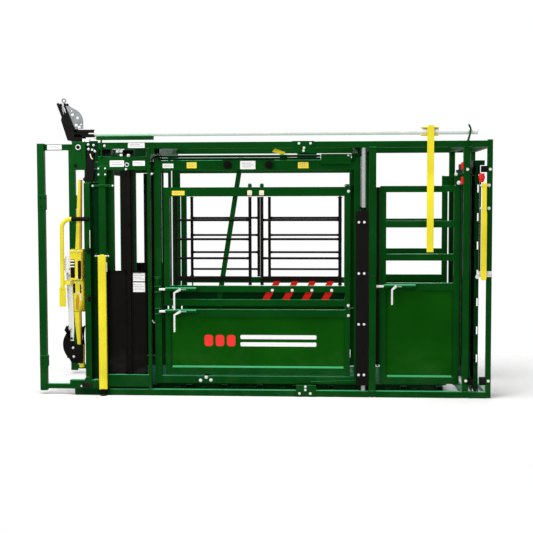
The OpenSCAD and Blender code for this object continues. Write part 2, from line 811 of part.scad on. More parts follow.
base_rails();
floor_tubes();
floor_plate();
top_rails();
cross_tubes();
frame_posts();
post_caps();
guard_frame();
head_columns();
side_wings();
door_tracks();
shoulder_beams();
lever_plates();
joint_plates();
rubber_strips();
side_rods();
rear_brackets();
hook_plates();
pipe_support();
frame_bolts();
head_door_near();
head_door_far();
control_fork();
quadrant_plate();
control_pipe();
slide_handle();
neck_door_near();
neck_door_far();
squeeze_side_near();
squeeze_side_far();
side_links_near();
side_links_far();
squeeze_lever();
upper_gate_near();
upper_gate_far();
red_straps_near();
red_straps_far();
drop_bars_near_front();
drop_bars_near_rear();
drop_bars_far_front();
drop_bars_far_rear();
lower_door_near();
lower_door_far();
vet_door_near();
vet_door_far();
upper_latch_near();
upper_latch_far();
lower_latch_near();
lower_latch_far();
vet_latch_near();
vet_latch_far();
width_knobs_near();
width_knobs_far();
tail_door_near();
tail_door_far();
tail_handle_near();
holder_mast();
pull_handle();
winch_wheel();
holder_jaw();
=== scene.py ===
"""Looks for the cattle squeeze chute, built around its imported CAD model. Lengths are in metres."""

import json
from math import cos, pi, radians, sin

import bmesh
import bpy
from mathutils import Matrix, Vector

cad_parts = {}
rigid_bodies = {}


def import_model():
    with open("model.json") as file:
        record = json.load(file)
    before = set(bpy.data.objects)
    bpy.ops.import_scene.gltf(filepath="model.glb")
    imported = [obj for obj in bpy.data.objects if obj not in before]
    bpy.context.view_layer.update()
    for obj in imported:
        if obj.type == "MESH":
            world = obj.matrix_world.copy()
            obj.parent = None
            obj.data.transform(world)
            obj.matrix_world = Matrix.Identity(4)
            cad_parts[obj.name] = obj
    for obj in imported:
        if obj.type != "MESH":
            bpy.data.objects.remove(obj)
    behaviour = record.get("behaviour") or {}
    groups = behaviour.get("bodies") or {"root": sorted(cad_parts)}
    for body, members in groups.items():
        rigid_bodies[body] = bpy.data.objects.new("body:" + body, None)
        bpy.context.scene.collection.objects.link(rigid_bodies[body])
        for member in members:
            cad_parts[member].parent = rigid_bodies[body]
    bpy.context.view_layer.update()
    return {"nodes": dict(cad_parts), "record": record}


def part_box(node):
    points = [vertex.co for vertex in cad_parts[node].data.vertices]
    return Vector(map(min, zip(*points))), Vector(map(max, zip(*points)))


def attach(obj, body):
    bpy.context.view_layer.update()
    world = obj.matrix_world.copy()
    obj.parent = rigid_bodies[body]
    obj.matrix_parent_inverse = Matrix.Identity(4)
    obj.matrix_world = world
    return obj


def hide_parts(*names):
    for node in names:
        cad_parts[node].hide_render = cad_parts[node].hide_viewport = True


for startup_object in list(bpy.data.objects):
    bpy.data.objects.remove(startup_object)
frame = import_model()

# The sign of Y on each side of the chute, called k below
SIDES = {"near": -1, "far": 1}
BOTH = tuple(SIDES.values())

# Stations of the frame, as the CAD has them. PROUD is just outside the near rails.
HALF_WIDTH = 0.58
PROUD = -0.5805
RAIL_TOP = 2.056
RAIL_UNDER = 2.006
GUARD_X = -1.798
COLUMN_B = (-1.318, -1.26)
MID_POST = (0.866, 0.922)
REAR_A = (1.611, 1.661)
REAR_B = (1.799, 1.839)

# Squeeze sides, gates and doors
GATE_Y = 0.5
SIDE_FACE = 0.525
GATE_FACE = 0.52
GATE_HINGE_X = 0.696
GATE_TOP = 1.694
LATCH_Y = 0.545
LATCH_Z = {"upper": 0.866, "lower": 0.686, "vet": 0.895}
BAR_Z = (1.118, 1.273, 1.428)
BAR_X = {"front": (-0.7, -0.094), "rear": (0.003, 0.635)}

# Head gate, control lever and head holder
PIVOT = (-1.475, 2.018)
PIPE = (0.55, 2.131)
PIPE_R = 0.025
NECK_X = -1.079
NECK_Y = 0.54
WINCH = (-1.542, 1.072)
HANDLE_Y = 0.604

# Bevels on sharp edges: small fittings, bolted plates, and the CAD nodes' own edges
FINE = 0.0006
PLATE = 0.0008
SOFT = 0.0022


# ---- Materials ----

class Nodes:
    """A short way to write a material's node tree."""

    def __init__(self, name):
        self.material = bpy.data.materials.new(name)
        self.material.use_nodes = True
        self.tree = self.material.node_tree
        self.shader = self.tree.nodes["Principled BSDF"]
        place = self.tree.nodes.new("ShaderNodeTexCoord")
        self.coords, self.facing = place.outputs["Object"], place.outputs["Normal"]

    def feed(self, value, socket):
        """Links another node's output to a socket, or sets the socket to a plain value."""
        if isinstance(value, bpy.types.NodeSocket):
            self.tree.links.new(value, socket)
        else:
            socket.default_value = value

    def node(self, kind, **settings):
        """A new node. A capitalised setting is one of its inputs, any other is a property of its own."""
        node = self.tree.nodes.new("ShaderNode" + kind)
        for key, value in settings.items():
            if key.islower():
                setattr(node, key, value)
            else:
                self.feed(value, node.inputs[key.replace("_", " ")])
        return node

    def stretched(self, scale):
        return self.node("Mapping", Scale=scale, Vector=self.coords).outputs["Vector"]

    def noise(self, scale, detail=3.0, vector=None):
        vector = vector or self.coords
        return self.node("TexNoise", Scale=scale, Detail=detail, Vector=vector).outputs["Fac"]

    def cells(self, scale, output="Color"):
        return self.node("TexVoronoi", Scale=scale, Vector=self.coords).outputs[output]

    def wave(self, scale, axis):
        return self.node("TexWave", bands_direction=axis, Scale=scale, Vector=self.coords).outputs["Fac"]

    def height(self):
        return self.node("SeparateXYZ", Vector=self.coords).outputs["Z"]

    def upward(self):
        """One on a face that looks straight up, nothing on an upright one."""
        return self.remap(self.node("SeparateXYZ", Vector=self.facing).outputs["Z"], 0.3, 0.95)

    def distance(self):
        """One under the object, falling to nothing three metres out across it and further along it."""
        node = self.node("VectorMath", operation="LENGTH")
        self.feed(self.stretched((0.55, 1.0, 0.0)), node.inputs[0])
        return self.remap(node.outputs["Value"], 0.9, 3.0, 1.0, 0.0)

    def remap(self, value, low, high, to_low=0.0, to_high=1.0):
        node = self.node("MapRange", Value=value, From_Min=low, From_Max=high, To_Min=to_low, To_Max=to_high)
        return node.outputs["Result"]

    def times(self, a, b):
        node = self.node("Math", operation="MULTIPLY")
        for value, socket in zip((a, b), node.inputs):
            self.feed(value, socket)
        return node.outputs[0]

    def mix(self, factor, a, b):
        node = self.node("Mix", data_type="RGBA", Factor=factor)
        for value, socket in zip((a, b), node.inputs[6:8]):
            self.feed((*value, 1) if isinstance(value, tuple) else value, socket)
        return node.outputs[2]

    def bump(self, height, strength, distance, under=None):
        node = self.node("Bump", Strength=strength, Distance=distance, Height=height)
        if under:
            self.feed(under, node.inputs["Normal"])
        return node.outputs["Normal"]

    def finish(self, colour, roughness, normal, **sockets):
        sockets.update(Base_Color=colour, Roughness=roughness, Normal=normal)
        for key, value in sockets.items():
            self.feed(value, self.shader.inputs[key.replace("_", " ")])
        return self.material


def shade(colour, factor):
    return tuple(min(1.0, part * factor) for part in colour)


def powder_coat(name, colour, gloss=0.34, dust=0.05, specular=0.22, sheen=(1.0, 1.0, 1.0), painted_top_highlight=None):
    """Gloss powder coat with fine orange peel, varying thickness, dust low down and a painted highlight: a
    pale colour on faces that look up, standing for the sky's reflection on them.
    """
    n = Nodes(name)
    tone = n.mix(n.remap(n.noise(2.3, 4.0), 0.3, 0.7), shade(colour, 0.8), shade(colour, 1.15))
    low = n.remap(n.height(), 0.02, 0.45, 1.0, 0.0)
    patches = n.remap(n.noise(9.0, 6.0), 0.45, 0.75)
    dusty = n.times(n.times(low, patches), dust * 2.0)
    tone = n.mix(dusty, tone, (0.33, 0.29, 0.23))
    # Painted highlight: faces that look up are mixed towards a pale colour that stands for the reflection of
    # the sky on them.
    if painted_top_highlight:
        tone = n.mix(n.times(n.upward(), 0.8), tone, painted_top_highlight)
    peel = n.bump(n.noise(420.0, 2.0), 0.1, 0.0006)
    normal = n.bump(n.noise(26.0, 2.0), 0.05, 0.004, peel)
    roughness = n.remap(n.noise(14.0, 5.0), 0.3, 0.7, gloss - 0.06, gloss + 0.1)
    return n.finish(tone, roughness, normal, Specular_IOR_Level=specular, Specular_Tint=(*sheen, 1.0))


def galvanised(name, colour, metallic, gloss=0.42):
    """Hot-dip zinc: spangle of flat crystals in slightly different greys."""
    n = Nodes(name)
    tone = n.mix(n.cells(95.0), shade(colour, 0.86), shade(colour, 1.06))
    tone = n.mix(n.remap(n.noise(5.0, 5.0), 0.55, 0.8, 0.0, 0.5), tone, shade(colour, 0.7))
    roughness = n.remap(n.noise(30.0, 4.0), 0.3, 0.7, gloss - 0.1, gloss + 0.1)
    normal = n.bump(n.cells(95.0, "Distance"), 0.06, 0.001)
    return n.finish(tone, roughness, normal, Metallic=metallic)


def rubber(name, colour, grain=700.0):
    """Rubber sheet: fine grain and pale scuffs."""
    n = Nodes(name)
    scuffs = n.remap(n.noise(60.0, 8.0, n.stretched((1.0, 1.0, 0.15))), 0.62, 0.8, 0.0, 0.3)
    tone = n.mix(scuffs, colour, shade(colour, 3.0))
    roughness = n.remap(n.noise(20.0, 3.0), 0.3, 0.7, 0.55, 0.75)
    normal = n.bump(n.noise(grain, 2.0), 0.25, 0.0006)
    return n.finish(tone, roughness, normal, Specular_IOR_Level=0.09)


def webbing(name, colour):
    """Woven strap: fine ribs across it and a weave between them."""
    n = Nodes(name)
    ribs = n.wave(130.0, "Z")
    tone = n.mix(ribs, shade(colour, 0.8), colour)
    roughness = n.remap(n.noise(80.0, 3.0), 0.3, 0.7, 0.75, 0.9)
    normal = n.bump(ribs, 0.5, 0.001, n.bump(n.wave(150.0, "X"), 0.3, 0.0006))
    return n.finish(tone, roughness, normal, Sheen_Weight=0.2)


def vinyl(name, colour):
    """Printed vinyl label, a little uneven where it follows the coat under it."""
    n = Nodes(name)
    tone = n.mix(n.remap(n.noise(40.0, 3.0), 0.3, 0.7), shade(colour, 0.93), colour)
    roughness = n.remap(n.noise(30.0, 2.0), 0.3, 0.7, 0.26, 0.36)
    normal = n.bump(n.noise(140.0, 2.0), 0.06, 0.0006)
    return n.finish(tone, roughness, normal)


# The pale colours given for the green coats' top faces are painted highlights.
GREEN = powder_coat("green_coat", (0.0022, 0.041, 0.0042), dust=0.015, specular=0.35,
                    sheen=(0.05, 0.48, 0.1), painted_top_highlight=(0.085, 0.54, 0.24))
PANEL_GREEN = powder_coat("panel_green_coat", (0.003, 0.054, 0.0018), gloss=0.4, dust=0.02,
                          sheen=(0.08, 0.45, 0.08))
DARK_GREEN = powder_coat("dark_green_coat", (0.0012, 0.016, 0.0024), gloss=0.38, dust=0.02,
                         sheen=(0.06, 0.5, 0.2), painted_top_highlight=(0.02, 0.12, 0.065))
YELLOW = powder_coat("yellow_coat", (0.75, 0.645, 0.02), dust=0.04)
# A darker copy of the yellow coat: painted shade, for the faces of the head holder that the light misses.
SHADED_YELLOW = powder_coat("yellow_painted_shade_coat", (0.48, 0.25, 0.016), gloss=0.38, dust=0.04)
RED = powder_coat("red_coat", (0.72, 0.011, 0.008))
BLACK = powder_coat("black_coat", (0.003, 0.0025, 0.0018), gloss=0.44, dust=0.03, specular=0.07)
RUBBER = rubber("moulded_rubber", (0.0036, 0.003, 0.0024))
RED_RUBBER = rubber("red_rubber", (0.8, 0.012, 0.009), grain=500.0)
ROD_ZINC = galvanised("rod_zinc", (0.36, 0.365, 0.36), metallic=0.3, gloss=0.34)
ZINC = galvanised("zinc_plate", (0.17, 0.185, 0.2), metallic=0.35)
WHITE = galvanised("bright_zinc", (0.74, 0.74, 0.73), metallic=0.1, gloss=0.34)
PIPE_WHITE = galvanised("white_coat", (0.8, 0.8, 0.79), metallic=0.0, gloss=0.34)
CREAM = powder_coat("cream_coat", (0.76, 0.68, 0.5), gloss=0.36, dust=0.0)
STRAP = webbing("strap_weave", (0.74, 0.74, 0.72))
WHITE_LABEL = vinyl("white_vinyl", (0.8, 0.8, 0.79))
YELLOW_LABEL = vinyl("yellow_vinyl", (0.92, 0.68, 0.02))
GREY_PRINT = vinyl("grey_print", (0.3, 0.3, 0.3))
RED_PRINT = vinyl("red_print", (0.76, 0.018, 0.014))

# The materials of each slot in the record. The first is the CAD nodes' own.
SLOTS = {
    "green": (GREEN, PANEL_GREEN), "dark_green": (DARK_GREEN,), "yellow": (YELLOW, SHADED_YELLOW, YELLOW_LABEL),
    "red": (RED_RUBBER, RED, RED_PRINT), "black": (BLACK,), "black_rubber": (RUBBER,),
    "zinc": (ZINC, GREY_PRINT), "white": (WHITE, PIPE_WHITE, CREAM, STRAP, WHITE_LABEL),
}


# ---- Mesh helpers ----

def add_object(name, data):
    obj = bpy.data.objects.new(name, data)
    bpy.context.scene.collection.objects.link(obj)
    return obj


def soften(obj, width):
    """Rounds every sharp edge of a piece, welding the CAD import's split corners first."""
    weld = obj.modifiers.new("weld", "WELD")
    weld.merge_threshold = 0.00002
    bevel = obj.modifiers.new("bevel", "BEVEL")
    bevel.width = width
    bevel.segments = 2
    bevel.limit_method = "ANGLE"
    bevel.angle_limit = radians(35)
    normals = obj.modifiers.new("normals", "WEIGHTED_NORMAL")
    normals.keep_sharp = True


def arc(centre, radius, start, end, steps=12):
    """Points of a circular arc, from start to end in degrees, counter-clockwise where end is larger."""
    turn = [radians(start + (end - start) * i / steps) for i in range(steps + 1)]
    return [(centre[0] + radius * cos(t), centre[1] + radius * sin(t)) for t in turn]


class Shape:
    """Collects solids into one mesh, in the frame's axes."""

    def __init__(self):
        self.bm = bmesh.new()

    def box(self, low, high):
        low, high = [Vector([f(a, b) for a, b in zip(low, high)]) for f in (min, max)]
        place = Matrix.Translation((low + high) / 2) @ Matrix.Diagonal((*(high - low), 1))
        bmesh.ops.create_cube(self.bm, size=1, matrix=place)

    def rod(self, start, end, radius, end_radius=None, sides=24):
        start, end = Vector(start), Vector(end)
        along = end - start
        turn = along.to_track_quat("Z", "Y").to_matrix().to_4x4()
        bmesh.ops.create_cone(
            self.bm, cap_ends=True, segments=sides, radius1=radius,
            radius2=radius if end_radius is None else end_radius, depth=along.length,
            matrix=Matrix.Translation((start + end) / 2) @ turn)

    def ball(self, centre, radius, squash=(1, 1, 1)):
        place = Matrix.Translation(centre) @ Matrix.Diagonal((*squash, 1))
        bmesh.ops.create_uvsphere(self.bm, u_segments=20, v_segments=12, radius=radius, matrix=place)

    def loops(self, rings, closed=False):
        """Skins a list of rings of points. The ends are capped unless the rings close on themselves."""
        rings = [[self.bm.verts.new(p) for p in ring] for ring in rings]
        count = len(rings[0])
        pairs = list(zip(rings, rings[1:] + rings[:1] if closed else rings[1:]))
        for a, b in pairs:
            for i in range(count):
                j = (i + 1) % count
                self.bm.faces.new((a[i], a[j], b[j], b[i]))
        if not closed:
            self.bm.faces.new(rings[0][::-1])
            self.bm.faces.new(rings[-1])
        return self

    def sweep(self, points, radius, sides=12, closed=False):
        """A round bar along a path. radius may be a list, one for each point."""
        points = [Vector(p) for p in points]
        last = len(points) - 1
        rings = []
        side = None
        for i, p in enumerate(points):
            before = points[i - 1] if i or closed else p
            after = points[(i + 1) % (last + 1)] if i < last or closed else p
            along = (after - before).normalized()
            if side is None:
                side = along.cross(Vector((0.31, 0.17, 0.93))).normalized()
            side = (side - along * side.dot(along)).normalized()
            up = along.cross(side)
            r = radius[i] if isinstance(radius, list) else radius
            turns = [2 * pi * k / sides for k in range(sides)]
            rings.append([p + side * r * cos(t) + up * r * sin(t) for t in turns])
        return self.loops(rings, closed)

    def plate(self, outline, y0, y1):
        """An outline in X and Z, solid between two values of Y."""
        low, high = sorted((y0, y1))
        rings = [[(x, y, z) for x, z in outline] for y in (low, high)]
        return self.loops(rings)

    def ring(self, centre, radius, thick, axis="y"):
        """A round bar bent into a circle about an axis."""
        i, j = {"x": (1, 2), "y": (0, 2), "z": (0, 1)}[axis]
        path = []
        for turn in [2 * pi * step / 32 for step in range(32)]:
            path.append(list(centre))
            path[-1][i] += radius * cos(turn)
            path[-1][j] += radius * sin(turn)
        return self.sweep(path, thick, closed=True)

    def bolt(self, at, out, radius):
        """A washer, a hexagon head or nut on it, and the end of the thread."""
        at, out = Vector(at), Vector(out)
        washer = radius * 0.22
        head = washer + radius * 0.75
        self.rod(at - out * 0.001, at + out * washer, radius * 1.5)
        self.rod(at + out * washer, at + out * head, radius, sides=6)
        self.rod(at + out * radius, at + out * (head + 0.004), radius * 0.55, sides=16)

    def bolts(self, face, spots, radius, side=-1):
        """Bolts at spots (x, z) on a face that looks along Y: towards the operator, where side is -1."""
        for x, z in spots:
            self.bolt((x, face, z), (0, side, 0), radius)

    def to_object(self, name, material):
        mesh = bpy.data.meshes.new(name)
        self.bm.to_mesh(mesh)
        self.bm.free()
        mesh.materials.append(material)
        return add_object(name, mesh)

    def done(self, name, body, material, bevel=0.0012, stands_for=None):
        """Makes the shape a piece that rides on a body, and that may stand for a CAD node."""
        bmesh.ops.recalc_face_normals(self.bm, faces=self.bm.faces)
        obj = self.to_object(name, material)
        for face in obj.data.polygons:
            face.use_smooth = True
        soften(obj, bevel)
        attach(obj, body)
        if stands_for:
            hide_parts(stands_for)


# ---- The CAD nodes' own finish ----

def paint_cad_nodes():
    for row in frame["record"]["subparts"]:
        name = row["node"]
        materials = frame["nodes"][name].data.materials
        materials.clear()
        materials.append(ROD_ZINC if name == "side_rods" else SLOTS[row["material_slot"]][0])
        soften(frame["nodes"][name], PLATE if name in ("frame_bolts", "winch_wheel") else SOFT)


# ---- Labels and decals ----

def label(name, body, x, z, face, material=WHITE_LABEL, lines=2):
    """A vinyl label on a face towards -Y, over the spans x and z. Its print is plain bars."""
    thick, corner, margin = 0.0006, 0.003, 0.12
    Shape().plate(rounded(x, z, corner), face, face - thick).done(name, body, material, 0.0002)
    pitch = (z[1] - z[0]) / (lines + 1.6)
    width = x[1] - x[0]
    half = pitch * 0.16
    marks = Shape()
    for row in range(lines):
        at = z[1] - pitch * (row + 1.3)
        end = x[0] + width * (0.88 if row % 2 else 0.72)
        marks.box((x[0] + width * margin, face - thick - 0.0002, at - half), (end, face, at + half))
    marks.done(name + "_print", body, GREY_PRINT, 0.0001)


def scalloped(centre, radius, depth, waves, steps):
    """The outline of a disc with waves round its rim."""
    turns = [2 * pi * i / steps for i in range(steps)]
    sizes = [radius + depth * cos(t * waves) for t in turns]
    return [(centre[0] + r * cos(t), centre[1] + r * sin(t)) for r, t in zip(sizes, turns)]


def rounded(x, z, radius):
    """The outline of a rectangle with round corners."""
    corners = (
        ((x[1] - radius, z[1] - radius), 0), ((x[0] + radius, z[1] - radius), 90),
        ((x[0] + radius, z[0] + radius), 180), ((x[1] - radius, z[0] + radius), 270))
    return [p for centre, start in corners for p in arc(centre, radius, start, start + 90, 5)]


def add_labels():
    for name, x, z in (("header_label_a", (-1.222, -1.105), (1.861, 1.912)),
                       ("header_label_b", (-1.035, -0.935), (1.868, 1.908))):
        label(name, "frame", x, z, -HALF_WIDTH)
    label("rail_label", "frame", (-1.072, -0.936), (2.011, 2.053), -HALF_WIDTH)
    label("guard_label", "frame", (-1.748, -1.628), (2.003, 2.043), -0.523)
    for name, z in (("neck_label_a", (0.932, 1.012)), ("neck_label_b", (0.844, 0.922))):
        label(name, "neck_door_near", (-1.058, -0.946), z, -NECK_Y - 0.005, lines=4)
    side = "squeeze_side_near"
    label("side_label_a", side, (-0.8, -0.712), (1.85, 1.886), -SIDE_FACE)
    label("side_label_b", side, (-0.604, -0.523), (1.848, 1.896), -SIDE_FACE, YELLOW_LABEL, 3)
    label("side_label_c", side, (0.296, 0.381), (1.844, 1.893), -SIDE_FACE, YELLOW_LABEL, 3)
    label("side_label_d", side, (-0.169, -0.046), (1.838, 1.905), -SIDE_FACE - 0.008, lines=3)
    label("gate_label", "upper_gate_near", (-0.727, -0.624), (1.63, 1.666), -GATE_FACE, YELLOW_LABEL, 2)


def door_decal():
    """Three bars and a double stripe on the lower door's sheet."""
    face = -GATE_Y - 0.0048
    low, high, gap = 0.398, 0.491, 0.026
    middle = (low + high) / 2
    stripes = Shape()
    for z in ((low, middle - gap / 2), (middle + gap / 2, high)):
        stripes.plate(rounded((-0.175, 0.445), z, 0.01), face, face - 0.0007)
    stripes.done("door_stripes", "lower_door_near", WHITE_LABEL, 0.0002)
    bars = Shape()
    for i in range(3):
        x = -0.47 + 0.092 * i
        bars.plate(rounded((x, x + 0.07), (low, high), 0.022), face, face - 0.0007)
    bars.done("door_bars", "lower_door_near", RED_PRINT, 0.0002)


# ---- Control lever ----

def holed_plate(shape, outline, holes, y0, y1):
    """An outline in X and Z with round holes, given as (x, z, radius), solid between two values of Y."""
    curve = bpy.data.curves.new("outline", "CURVE")
    curve.dimensions = "2D"
    curve.fill_mode = "BOTH"
    curve.extrude = abs(y1 - y0) / 2
    circles = [arc((x, z), r, 0, 360, 20)[:-1] for x, z, r in holes]
    for points in [outline] + circles:
        spline = curve.splines.new("POLY")
        spline.points.add(len(points) - 1)
        for target, (x, z) in zip(spline.points, points):
            target.co = (x, z, 0, 1)
        spline.use_cyclic_u = True
    obj = add_object("outline", curve)
    flat = bpy.data.meshes.new_from_object(obj.evaluated_get(bpy.context.evaluated_depsgraph_get()))
    flat.transform(Matrix.Translation((0, (y0 + y1) / 2, 0)) @ Matrix.Rotation(pi / 2, 4, "X"))
    shape.bm.from_mesh(flat)
    bmesh.ops.remove_doubles(shape.bm, verts=shape.bm.verts, dist=1e-6)
    bpy.data.objects.remove(obj)
    bpy.data.meshes.remove(flat)


def control_lever():
    body = "control_lever"
    x0, z0 = PIVOT
    edge = [(-1.612, 2.262), (-1.618, 2.238), (-1.566, 2.074), (-1.536, 2.07), (-1.505, 1.994)]
    boss = arc((x0, z0 + 0.004), 0.038, 230, 360, 10)
    fork = [(-1.436, 2.098), (-1.494, 2.157), (-1.512, 2.19), (-1.55, 2.285), (-1.578, 2.374),
            (-1.596, 2.376), (-1.577, 2.3), (-1.588, 2.262), (-1.634, 2.378), (-1.653, 2.37)]
    outline = edge + boss + fork
    lever = Shape()
    lever.plate(outline, -0.578, -0.57)
    lever.plate([(x + 0.011, z) for x, z in outline], -0.534, -0.526)
    core = [(x * 0.97 - 0.0465, z * 0.97 + 0.066) for x, z in outline[:-3]]
    lever.plate(core, -0.569, -0.535)
    lever.box((-1.512, -0.578, 2.137), (-1.349, -0.522, 2.161))
    lever.box((-1.512, -0.578, 2.101), (-1.349, -0.522, 2.125))
    lever.box((-1.512, -0.576, 2.12), (-1.404, -0.524, 2.145))
    lever.rod((x0, -0.6, z0), (x0, -0.502, z0), 0.0149, sides=32)
    lever.done("control_lever_plates", body, BLACK, 0.0018, stands_for="control_fork")

    arc_edge = [(-1.576, 2.35), (-1.545, 2.352)] + arc((-1.545, 2.222), 0.112, 72, 0, 14) + [(-1.434, 2.168)]
    quadrant = Shape()
    holed_plate(quadrant, arc_edge + [(-1.498, 2.164), (-1.52, 2.215), (-1.548, 2.285)],
                [(-1.48, 2.255, 0.011), (-1.527, 2.311, 0.006), (-1.452, 2.203, 0.007)], -0.584, -0.58)
    quadrant.done("lever_quadrant", body, ZINC, PLATE, stands_for="quadrant_plate")

    bright = Shape()
    bright.bolts(-0.584, ((-1.52, 2.278), (-1.49, 2.195), (-1.466, 2.178)), 0.008)
    bright.rod((-1.606, -0.552, 2.292), (-1.598, -0.552, 2.38), 0.005)
    bright.rod((-1.598, -0.552, 2.366), (-1.598, -0.552, 2.378), 0.011, sides=6)
    eye = Shape()
    eye.ring((-1.597, -0.552, 2.396), 0.0145, 0.005)
    eye.rod((-1.597, -0.552, 2.34), (-1.597, -0.552, 2.384), 0.0055)
    eye.done("lever_eye", body, ZINC, PLATE)
    coil = [(-1.604 + 0.01 * cos(t / 3), -0.552 + 0.01 * sin(t / 3), 2.285 + t * 0.0006)
            for t in range(110)]
    bright.sweep(coil, 0.0018, sides=6)
    bright.ring((x0, -0.597, z0), 0.0185, 0.0042)
    bright.box((-1.444, -0.579, 2.062), (-1.388, -0.533, 2.088))
    bright.bolts(-0.579, ((-1.425, 2.075), (-1.342, 2.09)), 0.006)
    bright.done("lever_fittings", body, WHITE, PLATE)


def control_pipe():
    """The long pipe with its end plug and the weld where it joins the lever."""
    body = "control_lever"
    y, z = -PIPE[0], PIPE[1]
    start, end = [corner.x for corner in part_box("control_pipe")]
    pipe = Shape()
    pipe.rod((start, y, z), (end - 0.004, y, z), PIPE_R, sides=48)
    pipe.rod((end - 0.006, y, z), (end, y, z), PIPE_R * 0.94, PIPE_R * 0.86, sides=48)
    for x in (start + 0.004, start + 0.28):
        pipe.ring((x, y, z), PIPE_R * 0.985, 0.0022, "x")
    pipe.done("long_pipe", body, PIPE_WHITE, 0.001, stands_for="control_pipe")


# ---- Head gate ----

def column_fittings():
    """Bolts, straps and plates on the columns, under the control lever's pivot."""
    bolts = Shape()
    clevis = ((-1.397, 2.041), (-1.353, 2.036), (-1.395, 2.004), (-1.364, 1.998), (-1.343, 1.987))
    bolts.bolts(-0.578, clevis, 0.0065)
    bolts.bolts(-0.588, ((-1.362, 1.708), (-1.198, 1.708)), 0.0055)
    bolts.bolts(-HALF_WIDTH, [(-1.089, 1.841)], 0.0065)
    bolts.ring((-1.082, -0.584, 1.877), 0.014, 0.0036)
    bolts.bolts(-HALF_WIDTH, [(-0.881, 1.802)], 0.006)
    bolts.done("column_bolts", "frame", WHITE, 0.0007)

    strap = Shape()
    strap.plate(rounded((-1.378, -1.186), (1.699, 1.717), 0.004), -0.581, -0.588)
    strap.box((-1.324, PROUD, 1.776), (-1.246, -0.584, 1.866))
    strap.done("column_straps", "frame", GREEN)

    black = Shape()
    black.plate([(-1.41, 1.991), (-1.35, 1.991), (-1.352, 1.845), (-1.36, 1.746), (-1.436, 1.746),
                 (-1.446, 1.764), (-1.42, 1.792), (-1.414, 1.905)], -0.5755, -0.5795)
    black.bolts(-0.5795, ((-1.398, 1.96), (-1.362, 1.96)), 0.008)
    black.plate(arc((-1.5, 1.872), 0.015, 0, 360, 24)[:-1], -0.5905, -0.594)
    black.plate(arc((-1.082, 1.877), 0.011, 0, 360, 24)[:-1], PROUD, -0.586)
    black.done("column_brackets", "frame", BLACK)

    backing = Shape()
    backing.box((-1.4155, -0.572, 1.901), (-1.319, -0.566, 2.07))
    backing.box((-1.351, -0.5755, 1.846), (-1.326, -0.5775, 1.9))
    backing.box((-1.3715, -0.56, 1.738), (-1.319, -0.556, 1.844))
    backing.box((-1.3888, -0.5365, 0.124), (-1.3805, -0.548, 1.732))
    backing.box((-1.53, PROUD, 0.004), (-1.24, -0.585, 0.056))
    backing.done("clevis_backing", "frame", DARK_GREEN)
    blocks = Shape()
    blocks.box((-1.417, PROUD, 1.162), (-1.383, -0.592, 1.195))
    blocks.box((-1.412, PROUD, 0.769), (-1.375, -0.592, 0.81))
    blocks.done("column_blocks", "frame", BLACK)
    cream = Shape()
    cream.box((-1.395, PROUD, 1.205), (-1.389, -0.5835, 1.35))
    cream.sweep([(-1.382, -0.582, 1.966), (-1.372, -0.583, 1.935), (-1.361, -0.583, 1.922)], 0.005)
    cream.done("cream_pin", "frame", CREAM, 0.0005)


def header_mechanism():
    """Cranks and pins between the header and the rail, which tie the two head doors together."""
    y = -0.56
    arms = Shape()
    arms.plate([(-1.206, 1.998), (-1.16, 2.002), (-1.16, 1.99), (-1.196, 1.984)], y, y + 0.008)
    arms.sweep([(-1.196, y, 1.946), (-1.186, y, 1.985), (-1.17, y, 1.996)], 0.006)
    arms.sweep([(-1.176, y, 1.946), (-1.162, y, 1.966), (-1.15, y, 1.975)], 0.006)
    arms.box((-1.21, -0.57, 1.941), (-1.12, -0.54, 1.949))
    arms.box((-1.02, -0.575, 1.944), (-0.936, -0.535, 2.004))
    arms.done("header_cranks", "frame", DARK_GREEN)
    pins = Shape()
    spots = ((-1.147, 2.0), (-1.131, 1.988), (-1.16, 1.986), (-1.131, 1.952), (-1.072, 1.952))
    pins.bolts(y - 0.004, spots, 0.009)
    pins.bolts(-0.581, [(-1.264, 2.03)], 0.007)
    pins.done("header_pins", "frame", WHITE, FINE)


def neck_door(side, k):
    """A frame round each half of the panel, edge strips above it, and the hinge tube's collars."""
    face = k * (NECK_Y + 0.005)
    out = k * 0.004
    panel = Shape()
    low, high = 0.172, 1.018
    for x in ((-1.254, -1.096), (-1.062, -0.936)):
        for a, b in (((x[0], low), (x[1], low + 0.018)), ((x[0], high - 0.018), (x[1], high)),
                     ((x[0], low), (x[0] + 0.014, high)), ((x[1] - 0.014, low), (x[1], high))):
            panel.box((a[0], face, a[1]), (b[0], face + out, b[1]))
    for z in (0.2, 0.6, 1.0, 1.4, 1.8):
        panel.rod((NECK_X, k * NECK_Y, z - 0.012), (NECK_X, k * NECK_Y, z + 0.012), 0.0245)
    panel.done("neck_panel_" + side, "neck_door_" + side, BLACK)
    edge = Shape()
    for x in (-1.141, -1.024):
        edge.box((x - 0.006, face - k * 0.002, 1.02), (x + 0.006, face + out, 1.829))
    edge.done("neck_edges_" + side, "neck_door_" + side, DARK_GREEN)


def squeeze_lever():
    y0, y1 = [corner.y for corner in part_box("squeeze_lever")]
    x0, x1, z0, z1 = -1.322, -1.256, 0.052, 1.154
    half = (x1 - x0) / 2
    outline = [(x0, z0), (x1, z0)] + arc((x0 + half, z1 - half), half, 0, 180, 20)
    lever = Shape()
    lever.plate(outline, y0, y1)
    lever.done("yellow_lever", "squeeze_lever", YELLOW, 0.006, stands_for="squeeze_lever")
    bolts = Shape()
    bolts.rod((-1.3335, -0.598, 1.14), (-1.2485, -0.598, 1.14), 0.0066)
    bolts.box((-1.2555, -0.604, 1.012), (-1.249, -0.594, 1.088))
    bolts.done("lever_pin", "squeeze_lever", WHITE, FINE)
    nuts = Shape()
    for x, out in ((-1.3405, (-1, 0, 0)), (-1.2415, (1, 0, 0))):
        nuts.bolt((x, -0.598, 1.14), out, 0.0065)
    nuts.done("lever_pin_nuts", "frame", WHITE, FINE)


